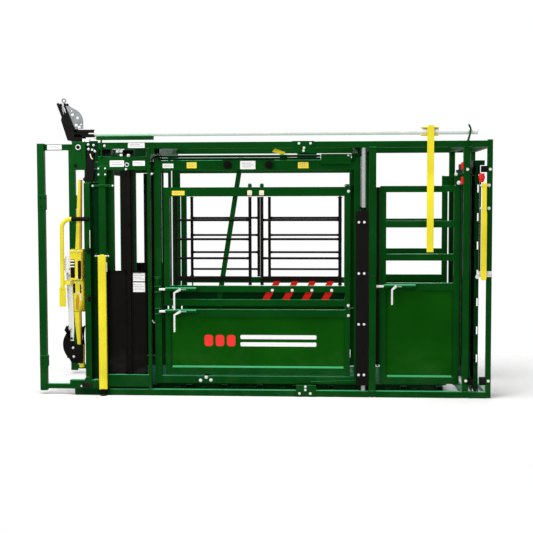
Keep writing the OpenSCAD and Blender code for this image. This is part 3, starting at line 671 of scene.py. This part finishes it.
def head_holder():
    body = "head_holder"
    strut = Shape()
    strut.plate([(-1.49, 1.757), (-1.464, 1.757), (-1.474, 1.195), (-1.52, 1.195)], -0.55, -0.51)
    strut.plate([(-1.539, 0.69), (-1.484, 0.69), (-1.48, 0.405), (-1.512, 0.405)], -0.55, -0.508)
    strut.rod((-1.48, -0.528, 0.222), (-1.48, -0.528, 0.406), 0.021)
    strut.rod((-1.48, -0.528, 0.222), (-1.48, -0.528, 0.262), 0.024)
    case = [(-1.553, 1.195), (-1.452, 1.195), (-1.452, 0.682), (-1.553, 0.682)]
    holed_plate(strut, case[::-1], [(-1.533, 0.905, 0.01), (-1.533, 0.87, 0.01), (-1.479, 0.895, 0.008),
                                    (-1.479, 0.86, 0.008), (-1.5, 0.985, 0.01)], -0.552, -0.547)
    strut.box((-1.553, -0.552, 0.682), (-1.548, -0.504, 1.195))
    strut.box((-1.457, -0.552, 0.682), (-1.452, -0.504, 1.195))
    for z in (0.684, 0.94, 1.19):
        strut.box((-1.553, -0.552, z - 0.0025), (-1.452, -0.504, z + 0.0025))
    strut.done("holder_frame", body, YELLOW, 0.002, stands_for="holder_mast")
    # Darker yellow strips along the right-hand edges of the strut, case and cover, and a patch low on the
    # case: painted shade.
    web = Shape()
    web.plate([(-1.4715, 1.757), (-1.4635, 1.757), (-1.4725, 1.195), (-1.487, 1.195)], -0.5505, -0.553)
    web.plate([(-1.496, 0.69), (-1.4835, 0.69), (-1.48, 0.405), (-1.488, 0.405)], -0.5505, -0.553)
    web.box((-1.46, -0.5525, 0.69), (-1.4515, -0.554, 0.945))
    web.box((-1.462, -0.6005, 0.96), (-1.4525, -0.6025, 1.17))
    web.plate([(-1.52, 0.7), (-1.5, 0.7), (-1.492, 0.79), (-1.505, 0.83), (-1.522, 0.78)],
              -0.5525, -0.554)
    web.done("holder_shaded_strips", body, SHADED_YELLOW, PLATE)
    winch_cover(body)
    dark = Shape()
    # Black plates where the case's slots are: painted shade, the dark inside the slots.
    for x, z in (((-1.541, -1.525), (0.835, 0.908)), ((-1.485, -1.474), (0.835, 0.905))):
        dark.plate(rounded(x, z, 0.005), -0.5515, -0.555)
    dark.done("holder_slots_painted_shade", body, BLACK, FINE)
    bright = Shape()
    bright.bolts(-0.552, ((-1.492, 0.922), (-1.498, 0.832)), 0.007)
    bright.box((-1.483, -0.5555, 0.772), (-1.475, -0.5515, 0.828))
    bright.done("holder_bolts", body, WHITE, FINE)

    y = -HANDLE_Y
    handle = Shape()
    bend = [(-1.616 + 0.075 * (1 - cos(t)), y, 1.365 + 0.075 * sin(t))
            for t in [radians(6 * i) for i in range(16)]]
    shank = [(-1.616, y, z) for z in (0.872, 1.0, 1.2)]
    handle.sweep(shank + bend + [(-1.5, y, 1.44)], 0.0165, 16)
    handle.plate(rounded((-1.642, -1.59), (0.728, 0.884), 0.006), y - 0.006, y + 0.006)
    handle.box((-1.61, y + 0.005, 0.905), (-1.553, -0.545, 0.938))
    handle.done("pull_handle_bar", body, YELLOW, 0.0012, stands_for="pull_handle")
    grip = Shape()
    ribs = [0.0168 + (0.0016 if i % 2 else 0.0) for i in range(25)]
    grip.sweep([(-1.535 + 0.0052 * i, y, 1.44) for i in range(25)], ribs, 20)
    grip.ball((-1.406, y, 1.44), 0.016)
    grip.done("pull_handle_grip", body, RUBBER, FINE)
    holder_jaw(body)


def winch_cover(body):
    """A pressed cover that the winch's wheel turns behind, open where the drum shows."""
    cover = Shape()
    left, right, low, high = -1.553, -1.453, 0.947, 1.19
    holed_plate(cover, rounded((left, right), (low, high), 0.006),
                [(-1.474, 1.022, 0.012), (-1.474, 1.05, 0.012), (-1.474, 1.078, 0.012)], -0.6, -0.5965)
    cover.box((right - 0.003, -0.6, low), (right, -0.551, high))
    for z in (low, high - 0.003):
        cover.box((left, -0.6, z), (right, -0.551, z + 0.003))
    cover.box((left - 0.004, -0.603, high - 0.018), (right + 0.004, -0.594, high + 0.002))
    cover.done("winch_cover", body, YELLOW, 0.0018)
    # Black plates over the cover's openings: painted shade, the dark inside them.
    dark = Shape()
    dark.plate(rounded((-1.489, -1.463), (0.952, 1.104), 0.012), -0.6005, -0.603)
    dark.plate(rounded((-1.55, -1.514), (0.962, 1.112), 0.006), -0.6005, -0.6025)
    dark.done("cover_openings_painted_shade", body, BLACK, FINE)
    bright = Shape()
    for z in (1.1, 1.076, 1.053):
        bright.sweep([(-1.55, -0.605, z), (-1.532, -0.607, z + 0.002), (-1.516, -0.605, z)], 0.0055)
    bright.bolts(-0.603, ((-1.482, 1.18), (-1.536, 1.18)), 0.006)
    bright.bolts(-0.6, [(-1.494, 0.965)], 0.007)
    bright.done("winch_coil", body, WHITE, FINE)
    strap = Shape()
    steps = 24
    rings = []
    for i in range(steps + 1):
        s = i / steps
        z = 1.07 - 0.63 * s
        half = 0.023 - 0.007 * min(1.0, max(0.0, (s - 0.82) / 0.18))
        x = -1.574 + 0.008 * sin(2.2 * s) + 0.008 * s
        y = -0.562 - 0.006 * sin(5.0 * s)
        rings.append([(x - half, y, z), (x + half, y + 0.003, z),
                      (x + half, y + 0.0055, z), (x - half, y + 0.0025, z)])
    strap.loops(rings)
    strap.done("winch_strap", body, STRAP, FINE)
    eye = Shape()
    eye.ring((-1.556, -0.564, 0.462), 0.0075, 0.002)
    eye.rod((-1.556, -0.5645, 0.462), (-1.556, -0.5625, 0.462), 0.006)
    eye.done("strap_eyelet", body, BLACK, 0.0003)


def holder_jaw(body):
    """Two cheeks with horns, joined by a block along their curved back."""
    back = arc((-1.508, 0.412), 0.122, 112, 232, 18)
    outline = ([(-1.6, 0.566), (-1.617, 0.53), (-1.604, 0.512)]
               + [(x, 0.412 + (z - 0.412) * 1.15) for x, z in back]
               + [(-1.56, 0.262), (-1.5, 0.258), (-1.466, 0.258), (-1.464, 0.4), (-1.47, 0.47),
                  (-1.464, 0.53), (-1.458, 0.56), (-1.468, 0.562), (-1.476, 0.53), (-1.48, 0.47),
                  (-1.48, 0.412), (-1.546, 0.41), (-1.568, 0.44), (-1.582, 0.5), (-1.586, 0.56)])
    jaw = Shape()
    for y0, y1 in ((-0.566, -0.553), (-0.503, -0.49)):
        jaw.plate(outline, y0, y1)
    jaw.box((-1.6, -0.554, 0.3), (-1.548, -0.502, 0.42))
    jaw.done("jaw_cheeks", body, BLACK, 0.004, stands_for="holder_jaw")
    bolts = Shape()
    bolts.bolts(-0.566, ((-1.545, 0.386), (-1.541, 0.313)), 0.0065)
    bolts.done("jaw_bolts", body, WHITE, FINE)


def winch_wheel():
    """Scalloped hand wheel with six holes and a hub, behind the case's outer face."""
    x, z = WINCH
    holes = [(*spot, 0.0055) for spot in arc(WINCH, 0.046, 0, 300, 5)]
    wheel = Shape()
    holed_plate(wheel, scalloped(WINCH, 0.079, 0.0035, 14, 84), holes, -0.583, -0.571)
    wheel.ring((x, -0.577, z), 0.07, 0.007)
    wheel.rod((x, -0.59, z), (x, -0.566, z), 0.022)
    wheel.rod((x, -0.592, z), (x, -0.553, z), 0.0115)
    wheel.done("winch_hand_wheel", "winch_wheel", PIPE_WHITE, 0.0012, stands_for="winch_wheel")


# ---- Squeeze sides ----

def knobs(side, k):
    """The two scalloped knobs that set how far a squeeze side goes in."""
    face = k * (SIDE_FACE + 0.008)
    z = 1.874
    grip = Shape()
    for x in (-0.272, 0.063):
        grip.plate(scalloped((x, z), 0.0318, 0.0015, 9, 72), face + k * 0.001, face + k * 0.021)
        grip.rod((x, face + k * 0.018, z), (x, face + k * 0.026, z), 0.015, 0.011)
        grip.rod((x, face - k * 0.006, z), (x, face + k * 0.004, z), 0.0078)
    grip.done("width_grips_" + side, "width_knobs_" + side, BLACK, 0.0015,
              stands_for="width_knobs_" + side)


def side_fittings(side, k):
    """What is bolted on a squeeze side: link pins, hooks, a cover, guide rods and a tab."""
    body = "squeeze_side_" + side
    face = k * SIDE_FACE
    bolts = Shape()
    bolts.bolts(face + k * 0.007, ((-0.501, 0.12), (-0.416, 0.123), (-0.455, 0.146)), 0.009, k)
    bolts.bolts(face + k * 0.014, [(0.7, 1.945)], 0.008, k)
    for x in (-0.846, 0.772):
        bolts.bolt((x, k * GATE_Y, 1.954), (0, 0, 1), 0.01)
    bolts.done("side_bolts_" + side, body, WHITE, FINE)

    rods = Shape()
    rods.sweep([(-0.886, k * 0.536, 1.88), (-0.884, k * 0.538, 1.925), (-0.868, k * 0.538, 1.94),
                (-0.84, k * 0.53, 1.945), (-0.812, k * 0.512, 1.942)], 0.007)
    rods.ring((-0.822, k * 0.536, 1.934), 0.014, 0.005)
    rods.done("side_hooks_" + side, body, BLACK, FINE)

    cover = Shape()
    front, back, top, thick = 0.481, 0.722, 1.958, 0.003
    cover.plate(rounded((front, back), (1.875, top), 0.006), face + k * 0.014, face + k * 0.017)
    cover.box((front, face, top - thick), (back, face + k * 0.017, top))
    for x in (front + 0.03, back - 0.03):
        cover.rod((x, face + k * 0.016, top - 0.02), (x, face + k * 0.02, top - 0.02), 0.007)
    cover.done("side_cover_" + side, body, GREEN)

    guides = Shape()
    guides.rod((-0.815, k * 0.506, 1.922), (0.478, k * 0.506, 1.922), 0.0095)
    guides.rod((-0.815, k * 0.517, 1.944), (0.478, k * 0.517, 1.944), 0.0085)
    guides.box((0.15, k * 0.49, 1.911), (0.21, k * 0.52, 1.955))
    guides.box((0.724, k * 0.512, 1.936), (0.806, k * 0.536, 1.962))
    guides.box((0.728, k * 0.52, 1.9), (0.752, k * 0.534, 1.94))
    guides.done("side_guides_" + side, body, DARK_GREEN, PLATE)

    tab = Shape()
    tab.plate([(0.088, 1.978), (0.11, 2.004), (0.196, 1.974), (0.176, 1.95)], k * 0.505, k * 0.51)
    tab.done("yellow_tab_" + side, body, YELLOW)


def strike_plate(side, k):
    """Notched plate that the gate latches close on."""
    face = k * (SIDE_FACE + 0.006)
    wave = [(-0.826 - 0.006 * sin(pi * i / 4), 0.602 + 0.0305 * i) for i in range(13)]
    shape = Shape()
    shape.plate([(-0.874, 0.602)] + wave + [(-0.874, 0.968)], face, face + k * 0.003)
    shape.box((-0.862, face, 0.88), (-0.838, face + k * 0.016, 0.958))
    for level in ("upper", "lower"):
        for lip in (0.02, -0.026):
            z = LATCH_Z[level] + lip
            shape.box((-0.872, face, z), (-0.822, face + k * 0.02, z + 0.006))
    shape.done("strike_plate_" + side, "squeeze_side_" + side, GREEN)
    hook = Shape()
    hook.sweep([(-0.872, face + k * 0.004, 0.596), (-0.882, face + k * 0.006, 0.59),
                (-0.89, face + k * 0.006, 0.602), (-0.893, face + k * 0.006, 0.614)], 0.0035)
    hook.done("strike_hook_" + side, "squeeze_side_" + side, WHITE, 0.0005)


def gate_fittings(side, k):
    """Bolts of the red straps and of the hinges."""
    body = "upper_gate_" + side
    face = k * GATE_FACE
    bolts = Shape()
    for x in (0.087, 0.249, 0.408, 0.568):
        bolts.bolts(face, [(x, 0.859)], 0.0085, k)
        bolts.bolts(k * 0.474, ((x - 0.072, 0.757), (x + 0.004, 0.868)), 0.0075, -k)
    bolts.bolts(face, [(GATE_HINGE_X + 0.006, z) for z in (1.658, 0.737)], 0.008, k)
    bolts.done("gate_bolts_" + side, body, WHITE, FINE)
    hinge = Shape()
    hinge.bolts(face, [(GATE_HINGE_X + 0.008, 0.655)], 0.008, k)
    hinge.done("door_bolt_" + side, "lower_door_" + side, WHITE, FINE)


def gate_shade_sheet():
    """Sheet behind the slot between the near gate's two lower rails. Its dark green is painted shade, the
    shadow seen in the slot.
    """
    web = Shape()
    web.box((-0.7475, -0.47, 0.7825), (0.6745, -0.473, 0.8415))
    web.done("gate_web_near", "upper_gate_near", DARK_GREEN, FINE)


def bar_catches():
    """Catches on the near gate, over the free ends of its drop bars, and domes on the posts there."""
    z, half, top = 1.648, 0.019, GATE_TOP + 0.022
    catches, domes = Shape(), Shape()
    for x in (BAR_X["front"][1], BAR_X["rear"][0]):
        outline = rounded((x - half, x + half), (z - 0.02, z + 0.02), 0.006)
        catches.plate(outline, -GATE_FACE - 0.005, -GATE_FACE - 0.01)
        catches.rod((x, -GATE_FACE - 0.008, z), (x, -GATE_FACE - 0.015, z), 0.008)
        domes.rod((x, -GATE_Y, top - 0.006), (x, -GATE_Y, top), 0.0165)
        domes.ball((x, -GATE_Y, top), 0.013, (1, 1, 0.8))
    catches.done("bar_catches", "upper_gate_near", CREAM)
    domes.done("bar_domes", "upper_gate_near", GREEN)


def drop_bars(side, k, end):
    """Flared ends on the round bars, collars on the two posts, and lips on the near side's flat bar."""
    body = "drop_bars_%s_%s" % (side, end)
    pivot, free = BAR_X[end] if end == "front" else BAR_X[end][::-1]
    toward = 1 if free > pivot else -1
    y = k * GATE_Y
    wide, narrow = 0.012, 0.0098
    collars = Shape()
    for z in BAR_Z:
        collars.rod((pivot, y, z - 0.012), (pivot, y, z + 0.012), 0.0142)
        collars.rod((pivot + toward * 0.01, y, z), (pivot + toward * 0.03, y, z), wide, narrow)
        collars.rod((free - toward * 0.032, y, z), (free - toward * 0.01, y, z), narrow, wide)
    for z in (0.905, 1.611):
        collars.rod((pivot, y, z - 0.004), (pivot, y, z + 0.004), 0.018)
        collars.rod((free, y, z - 0.004), (free, y, z + 0.004), 0.0145)
    if side == "near":
        low, high = sorted((pivot + toward * 0.013, free - toward * 0.013))
        for z in (0.932, 0.967):
            collars.box((low + 0.002, y - k * 0.003, z), (high - 0.002, y - k * 0.012, z + 0.004))
    collars.done(body + "_collars", body, BLACK, 0.0015)


def latch_details(side, k, level):
    """The nut that holds a latch's handle on its pin."""
    body = "%s_latch_%s" % (level, side)
    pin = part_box(body)[0].x + (0.153 if level == "vet" else 0.173)
    nut = Shape()
    nut.bolts(k * (LATCH_Y + 0.03), [(pin, LATCH_Z[level])], 0.0075, k)
    nut.done(body + "_pin", body, WHITE, FINE)


def door_skins(side, k):
    """The doors' sheets, the folds round them and the sloped ledge along the foot."""
    fold = 0.01
    for body, x, z in (("lower_door_", (-0.744, 0.674), (0.223, 0.639)),
                       ("vet_door_", (1.006, 1.543), (0.157, 0.862))):
        skin, ledge = Shape(), Shape()
        left, right, foot, top = x[0] + fold, x[1] - fold, z[0], z[1] - fold
        for face, out in ((k * (GATE_Y + 0.004), k), (k * (GATE_Y - 0.004), -k)):
            edge, lip = face + out * 0.005, face + out * 0.0145
            section = ((face, foot), (lip, foot), (lip, foot + 0.001), (face, foot + 0.015))
            ledge.loops([[(at, *point) for point in section] for at in (left, right)])
            skin.box((x[0], face, foot), (x[1], face + out * 0.0008, z[1]))
            skin.box((x[0], face, top), (x[1], edge, z[1]))
            skin.box((x[0], face, foot), (left, edge, top))
            skin.box((right, face, foot), (x[1], edge, top))
        skin.done(body + "skin_" + side, body + side, PANEL_GREEN, 0.0003)
        # The ledge's sloped top takes the green coat's painted highlight, a bright line along each door's
        # foot.
        ledge.done(body + "ledge_" + side, body + side, GREEN, 0.0003)


# ---- Frame ----

def weld_bead(shape, start, end, radius=0.0032):
    """A bead with the ripples that a welder's steps leave."""
    start, end = Vector(start), Vector(end)
    steps = max(4, int((end - start).length / 0.004))
    points = [start.lerp(end, i / steps) for i in range(steps + 1)]
    sizes = [radius * (1 + 0.18 * sin(i * 2.2)) for i in range(steps + 1)]
    shape.sweep(points, sizes, sides=8)


def frame_welds():
    """Beads where the posts and columns meet the rails, and where the guard's tubes meet."""
    beads = Shape()
    for k in BOTH:
        y = k * HALF_WIDTH
        inner = k * (HALF_WIDTH - 0.05)
        for x0, x1 in (MID_POST, REAR_A, (-0.92, -0.896)):
            for z in (RAIL_UNDER, 0.0505):
                weld_bead(beads, (x0, y, z), (x1, y, z))
            for x in (x0, x1):
                weld_bead(beads, (x, y, RAIL_UNDER), (x, inner, RAIL_UNDER))
        for z in (RAIL_UNDER, RAIL_TOP, 0.0505):
            weld_bead(beads, (REAR_B[0], y, z - 0.05), (REAR_B[0], y, z))
        weld_bead(beads, (COLUMN_B[0], y, 1.9405), (COLUMN_B[1], y, 1.9405))
        for z in (2.047, 1.999, 0.084, 0.046):
            weld_bead(beads, (GUARD_X + 0.0295, k * 0.523, z), (GUARD_X + 0.0295, k * 0.505, z))
    beads.done("frame_weld_beads", "frame", GREEN, 0.0)


def guard_fittings():
    """The clamps that hold the front guard's two C frames, and their bolts."""
    bolts, clamps = Shape(), Shape()
    for k in BOTH:
        bolts.bolts(k * 0.553, [(GUARD_X, z) for z in (1.612, 1.538, 0.3, 0.25)], 0.007, k)
        for span in ((1.514, 1.636), (0.228, 0.32)):
            clamps.plate(rounded((-1.826, -1.762), span, 0.006), k * 0.5535, k * 0.5575)
    bolts.done("guard_bolts", "frame", BLACK, FINE)
    clamps.done("guard_clamps", "frame", GREEN)


def front_feet():
    """Feet under the head gate: a pressed cap with an ear, and the lever's socket."""
    caps = Shape()
    for k in BOTH:
        y = k * HALF_WIDTH
        caps.plate([(-1.57, 0.058), (-1.566, 0.1), (-1.548, 0.119), (-1.44, 0.1225), (-1.33, 0.1225),
                    (-1.33, 0.058)], y, y + k * 0.004)
        caps.plate([(-1.448, 0.086), (-1.448, 0.13), (-1.436, 0.148), (-1.416, 0.152), (-1.402, 0.138),
                    (-1.402, 0.086)], y + k * 0.004, y + k * 0.012)
    caps.done("foot_caps", "frame", GREEN)
    dark = Shape()
    dark.plate(rounded((-1.468, -1.385), (0.066, 0.1), 0.008), -0.592, -0.597)
    dark.rod((-1.289, -0.602, 0.002), (-1.289, -0.602, 0.05), 0.0275, 0.025)
    dark.ring((-1.289, -0.602, 0.05), 0.022, 0.005, "z")
    dark.done("foot_socket", "frame", BLACK)


def rear_fittings():
    """Red rollers and bumpers, bolts, the tail track's boxes, a guard strip and bracket faces."""
    red, stems, bolts, boxes, guard, plates = [Shape() for _ in range(6)]
    for k in BOTH:
        y = k * 0.583
        red.rod((1.752, y, 1.752), (1.752, y, 1.796), 0.02, 0.022)
        red.ball((1.752, y, 1.764), 0.027, (0.95, 0.7, 1.05))
        red.ball((1.752, y, 1.742), 0.021, (1, 0.7, 0.8))
        y = k * HALF_WIDTH
        bolts.bolts(y, ((1.81, 1.702), (1.81, 1.52)), 0.009, k)
        bolts.bolts(y + k * 0.006, ((1.733, 0.999), (1.8285, 0.999)), 0.007, k)
        bolts.bolts(k * 0.5295, [(1.579, 1.724)], 0.011, k)
        bolts.bolts(k * 0.5295, [(1.556, 1.792)], 0.009, k)
        boxes.box((1.704, k * 0.515, 1.862), (1.776, k * 0.575, 1.9))
        boxes.box((1.716, k * 0.52, 1.8), (1.722, k * 0.57, 1.862))
        for x in (1.668, 1.776):
            plates.plate(rounded((x - 0.026, x + 0.026), (0.108, 0.166), 0.008), k * 0.574, y)
    for z in (1.858, 1.741):
        red.rod((1.607, -0.547, z - 0.029), (1.607, -0.547, z + 0.029), 0.014)
        stems.box((1.6, -0.553, z - 0.008), (1.612, -0.541, z + 0.008))
    guard.box((1.7378, -0.576, 1.0), (1.7492, -0.562, 1.8))
    for z in (1.08, 1.28, 1.48, 1.68):
        guard.rod((1.7435, -0.578, z), (1.7435, -0.56, z), 0.0052)
    red.done("red_rollers", "frame", RED, 0.003)
    stems.done("roller_stems", "frame", DARK_GREEN)
    bolts.done("rear_bolts", "frame", WHITE, FINE)
    boxes.done("track_boxes", "frame", DARK_GREEN)
    guard.done("tail_guard", "frame", DARK_GREEN)
    plates.done("rear_bracket_faces", "frame", BLACK)


def tail_handle():
    y0, y1 = -0.612, -0.598
    shape = Shape()
    shape.plate([(1.752, 1.721), (1.752, 1.5), (1.748, 1.485), (1.748, 0.96), (1.757, 0.951),
                 (1.785, 0.951), (1.794, 0.96), (1.794, 1.485), (1.79, 1.5), (1.79, 1.721)], y0, y1)
    shape.box((1.749, y0 - 0.001, 1.69), (1.793, y1 + 0.001, 1.721))
    shape.done("tail_handle_bar", "tail_handle_near", YELLOW, 0.004, stands_for="tail_handle_near")
    bolts = Shape()
    bolts.rod((1.7465, -0.595, 1.7), (1.7985, -0.595, 1.7), 0.006)
    for z in (1.7, 1.52):
        bolts.bolt((1.748, -0.604, z), (-1, 0, 0), 0.009)
    bolts.done("tail_handle_bolts", "tail_handle_near", WHITE, FINE)


def slide_handle():
    """Flat yellow bar hung from two pressed collars round the pipe."""
    x = 1.349
    shape = Shape()
    shape.plate([(x - 0.027, 1.172), (x + 0.027, 1.172), (x + 0.027, 2.15), (x + 0.02, 2.179),
                 (x - 0.02, 2.179), (x - 0.027, 2.15)], -0.598, -0.586)
    for z in (PIPE[1] - 0.0305, PIPE[1] + 0.0305):
        rim = [(1.272, z), (1.29, z + 0.004), (1.408, z + 0.004), (1.416, z), (1.408, z - 0.004),
               (1.29, z - 0.004)]
        shape.plate(rim, -0.586, -0.524)
    shape.box((x - 0.02, -0.59, PIPE[1] - 0.034), (x + 0.02, -0.582, PIPE[1] + 0.034))
    shape.done("slide_handle_bar", "slide_handle", YELLOW, 0.0025, stands_for="slide_handle")


def rubber_details():
    """Washers on the rubber strips, and the collars over them on the grey rods."""
    washers, collars = Shape(), Shape()
    for k in BOTH:
        for z in (0.183, 0.592, 1.001, 1.411):
            for x in (0.785, 0.828):
                washers.rod((x, k * 0.584, z), (x, k * 0.5852, z), 0.018)
        x, y, top = 0.823, k * 0.555, 1.524
        collars.rod((x, y, 1.5), (x, y, top), 0.022, 0.019)
        collars.ring((x, y, top), 0.0185, 0.004, "z")
    washers.done("strip_washers", "frame", BLACK, 0.0004)
    collars.done("rod_collars", "frame", BLACK)


def floor_tread():
    """Raised bars across the floor plate, for footing, and dark skirts along its edges, whose dark green is
    painted shade where the floor's edge shows under the sill.
    """
    low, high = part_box("floor_plate")
    count, inset, half, tall = 18, 0.06, 0.01, 0.004
    bars, skirt = Shape(), Shape()
    for i in range(count):
        x = low.x + inset + (high.x - low.x - 2 * inset) * i / (count - 1)
        bars.box((x - half, low.y + 0.02, high.z - 0.001), (x + half, high.y - 0.02, high.z + tall))
    bars.done("floor_treads", "frame", DARK_GREEN)
    # Skirts along the floor pan's edge, dark green to paint the shade seen through the gap under the sill.
    for k in BOTH:
        skirt.box((low.x, k * 0.472, 0.012), (1.46, k * 0.4685, high.z))
        for i in range(12):
            x = low.x + 0.05 + 0.215 * i
            skirt.box((x, k * 0.5, 0.052), (x + 0.045, k * 0.4685, 0.06))
    skirt.done("floor_shade_skirts", "frame", DARK_GREEN)


def build_details():
    for build in (add_labels, door_decal, control_lever, control_pipe, column_fittings, header_mechanism,
                  squeeze_lever, head_holder, winch_wheel, guard_fittings, front_feet, frame_welds,
                  rear_fittings, tail_handle, slide_handle, rubber_details, floor_tread,
                  bar_catches, gate_shade_sheet):
        build()
    for side, k in SIDES.items():
        for build in (neck_door, knobs, side_fittings, strike_plate, gate_fittings, door_skins):
            build(side, k)
        for end in BAR_X:
            drop_bars(side, k, end)
        for level in LATCH_Z:
            latch_details(side, k, level)


# ---- Stage ----

def build_stage():
    """A pale floor that fades out to the white surround."""
    n = Nodes("pale_floor")
    tone = n.mix(n.noise(0.6, 2.0), (0.92, 0.92, 0.92), (0.95, 0.95, 0.94))
    roughness = n.remap(n.noise(3.0), 0.0, 1.0, 0.8, 0.9)
    material = n.finish(tone, roughness, n.bump(n.noise(80.0), 0.05, 0.001), Alpha=n.distance())
    floor = Shape()
    floor.box((-30, -30, -0.05), (30, 30, -0.0005))
    obj = floor.to_object("floor", material)
    obj.visible_glossy = False


def area_light(name, at, target, size, power):
    light = bpy.data.lights.new(name, "AREA")
    light.size = size
    light.energy = power
    obj = add_object(name, light)
    obj.location = at
    obj.rotation_euler = (Vector(target) - Vector(at)).to_track_quat("-Z", "Y").to_euler()


def build_light():
    """A white surround for the camera, a dim one for reflections, and large soft lamps."""
    world = bpy.data.worlds.new("studio")
    bpy.context.scene.world = world
    world.use_nodes = True
    tree = world.node_tree
    tree.nodes.clear()
    rays = tree.nodes.new("ShaderNodeLightPath")
    out = tree.nodes.new("ShaderNodeOutputWorld")
    levels = []
    for strength in (1.0, 0.36, 0.42):
        node = tree.nodes.new("ShaderNodeBackground")
        node.inputs["Color"].default_value = (1, 1, 1, 1)
        node.inputs["Strength"].default_value = strength
        levels.append(node.outputs[0])
    for output, index in (("Is Glossy Ray", 2), ("Is Camera Ray", 0)):
        node = tree.nodes.new("ShaderNodeMixShader")
        tree.links.new(rays.outputs[output], node.inputs[0])
        tree.links.new(levels[1], node.inputs[1])
        tree.links.new(levels[index], node.inputs[2])
        levels[1] = node.outputs[0]
    tree.links.new(levels[1], out.inputs["Surface"])
    area_light("top", (-0.8, -1.6, 6.5), (0, 0, 1.0), 5.0, 520)
    area_light("key", (-4.5, -7.0, 3.6), (0, -0.5, 1.1), 3.0, 250)
    area_light("fill", (5.5, -6.5, 2.6), (0, -0.5, 1.0), 3.5, 130)
    area_light("back", (2.0, 6.5, 4.5), (0, 0.5, 1.2), 4.0, 160)
    bpy.context.scene.view_settings.view_transform = "Standard"


def build_camera():
    """A long lens from the operator's side, a little above the middle and turned slightly left."""
    yaw, pitch, roll = 0.0639, 0.0627, -0.0026
    camera = bpy.data.cameras.new("camera")
    camera.sensor_width = 36.0
    camera.lens = 74.2
    obj = add_object("camera", camera)
    turn = Matrix.Rotation(yaw, 4, "Z") @ Matrix.Rotation(pi / 2 - pitch, 4, "X")
    obj.matrix_world = Matrix.Translation((0.608, -9.387, 1.61)) @ turn @ Matrix.Rotation(roll, 4, "Z")
    bpy.context.scene.camera = obj


paint_cad_nodes()
build_details()
build_camera()
build_light()
build_stage()
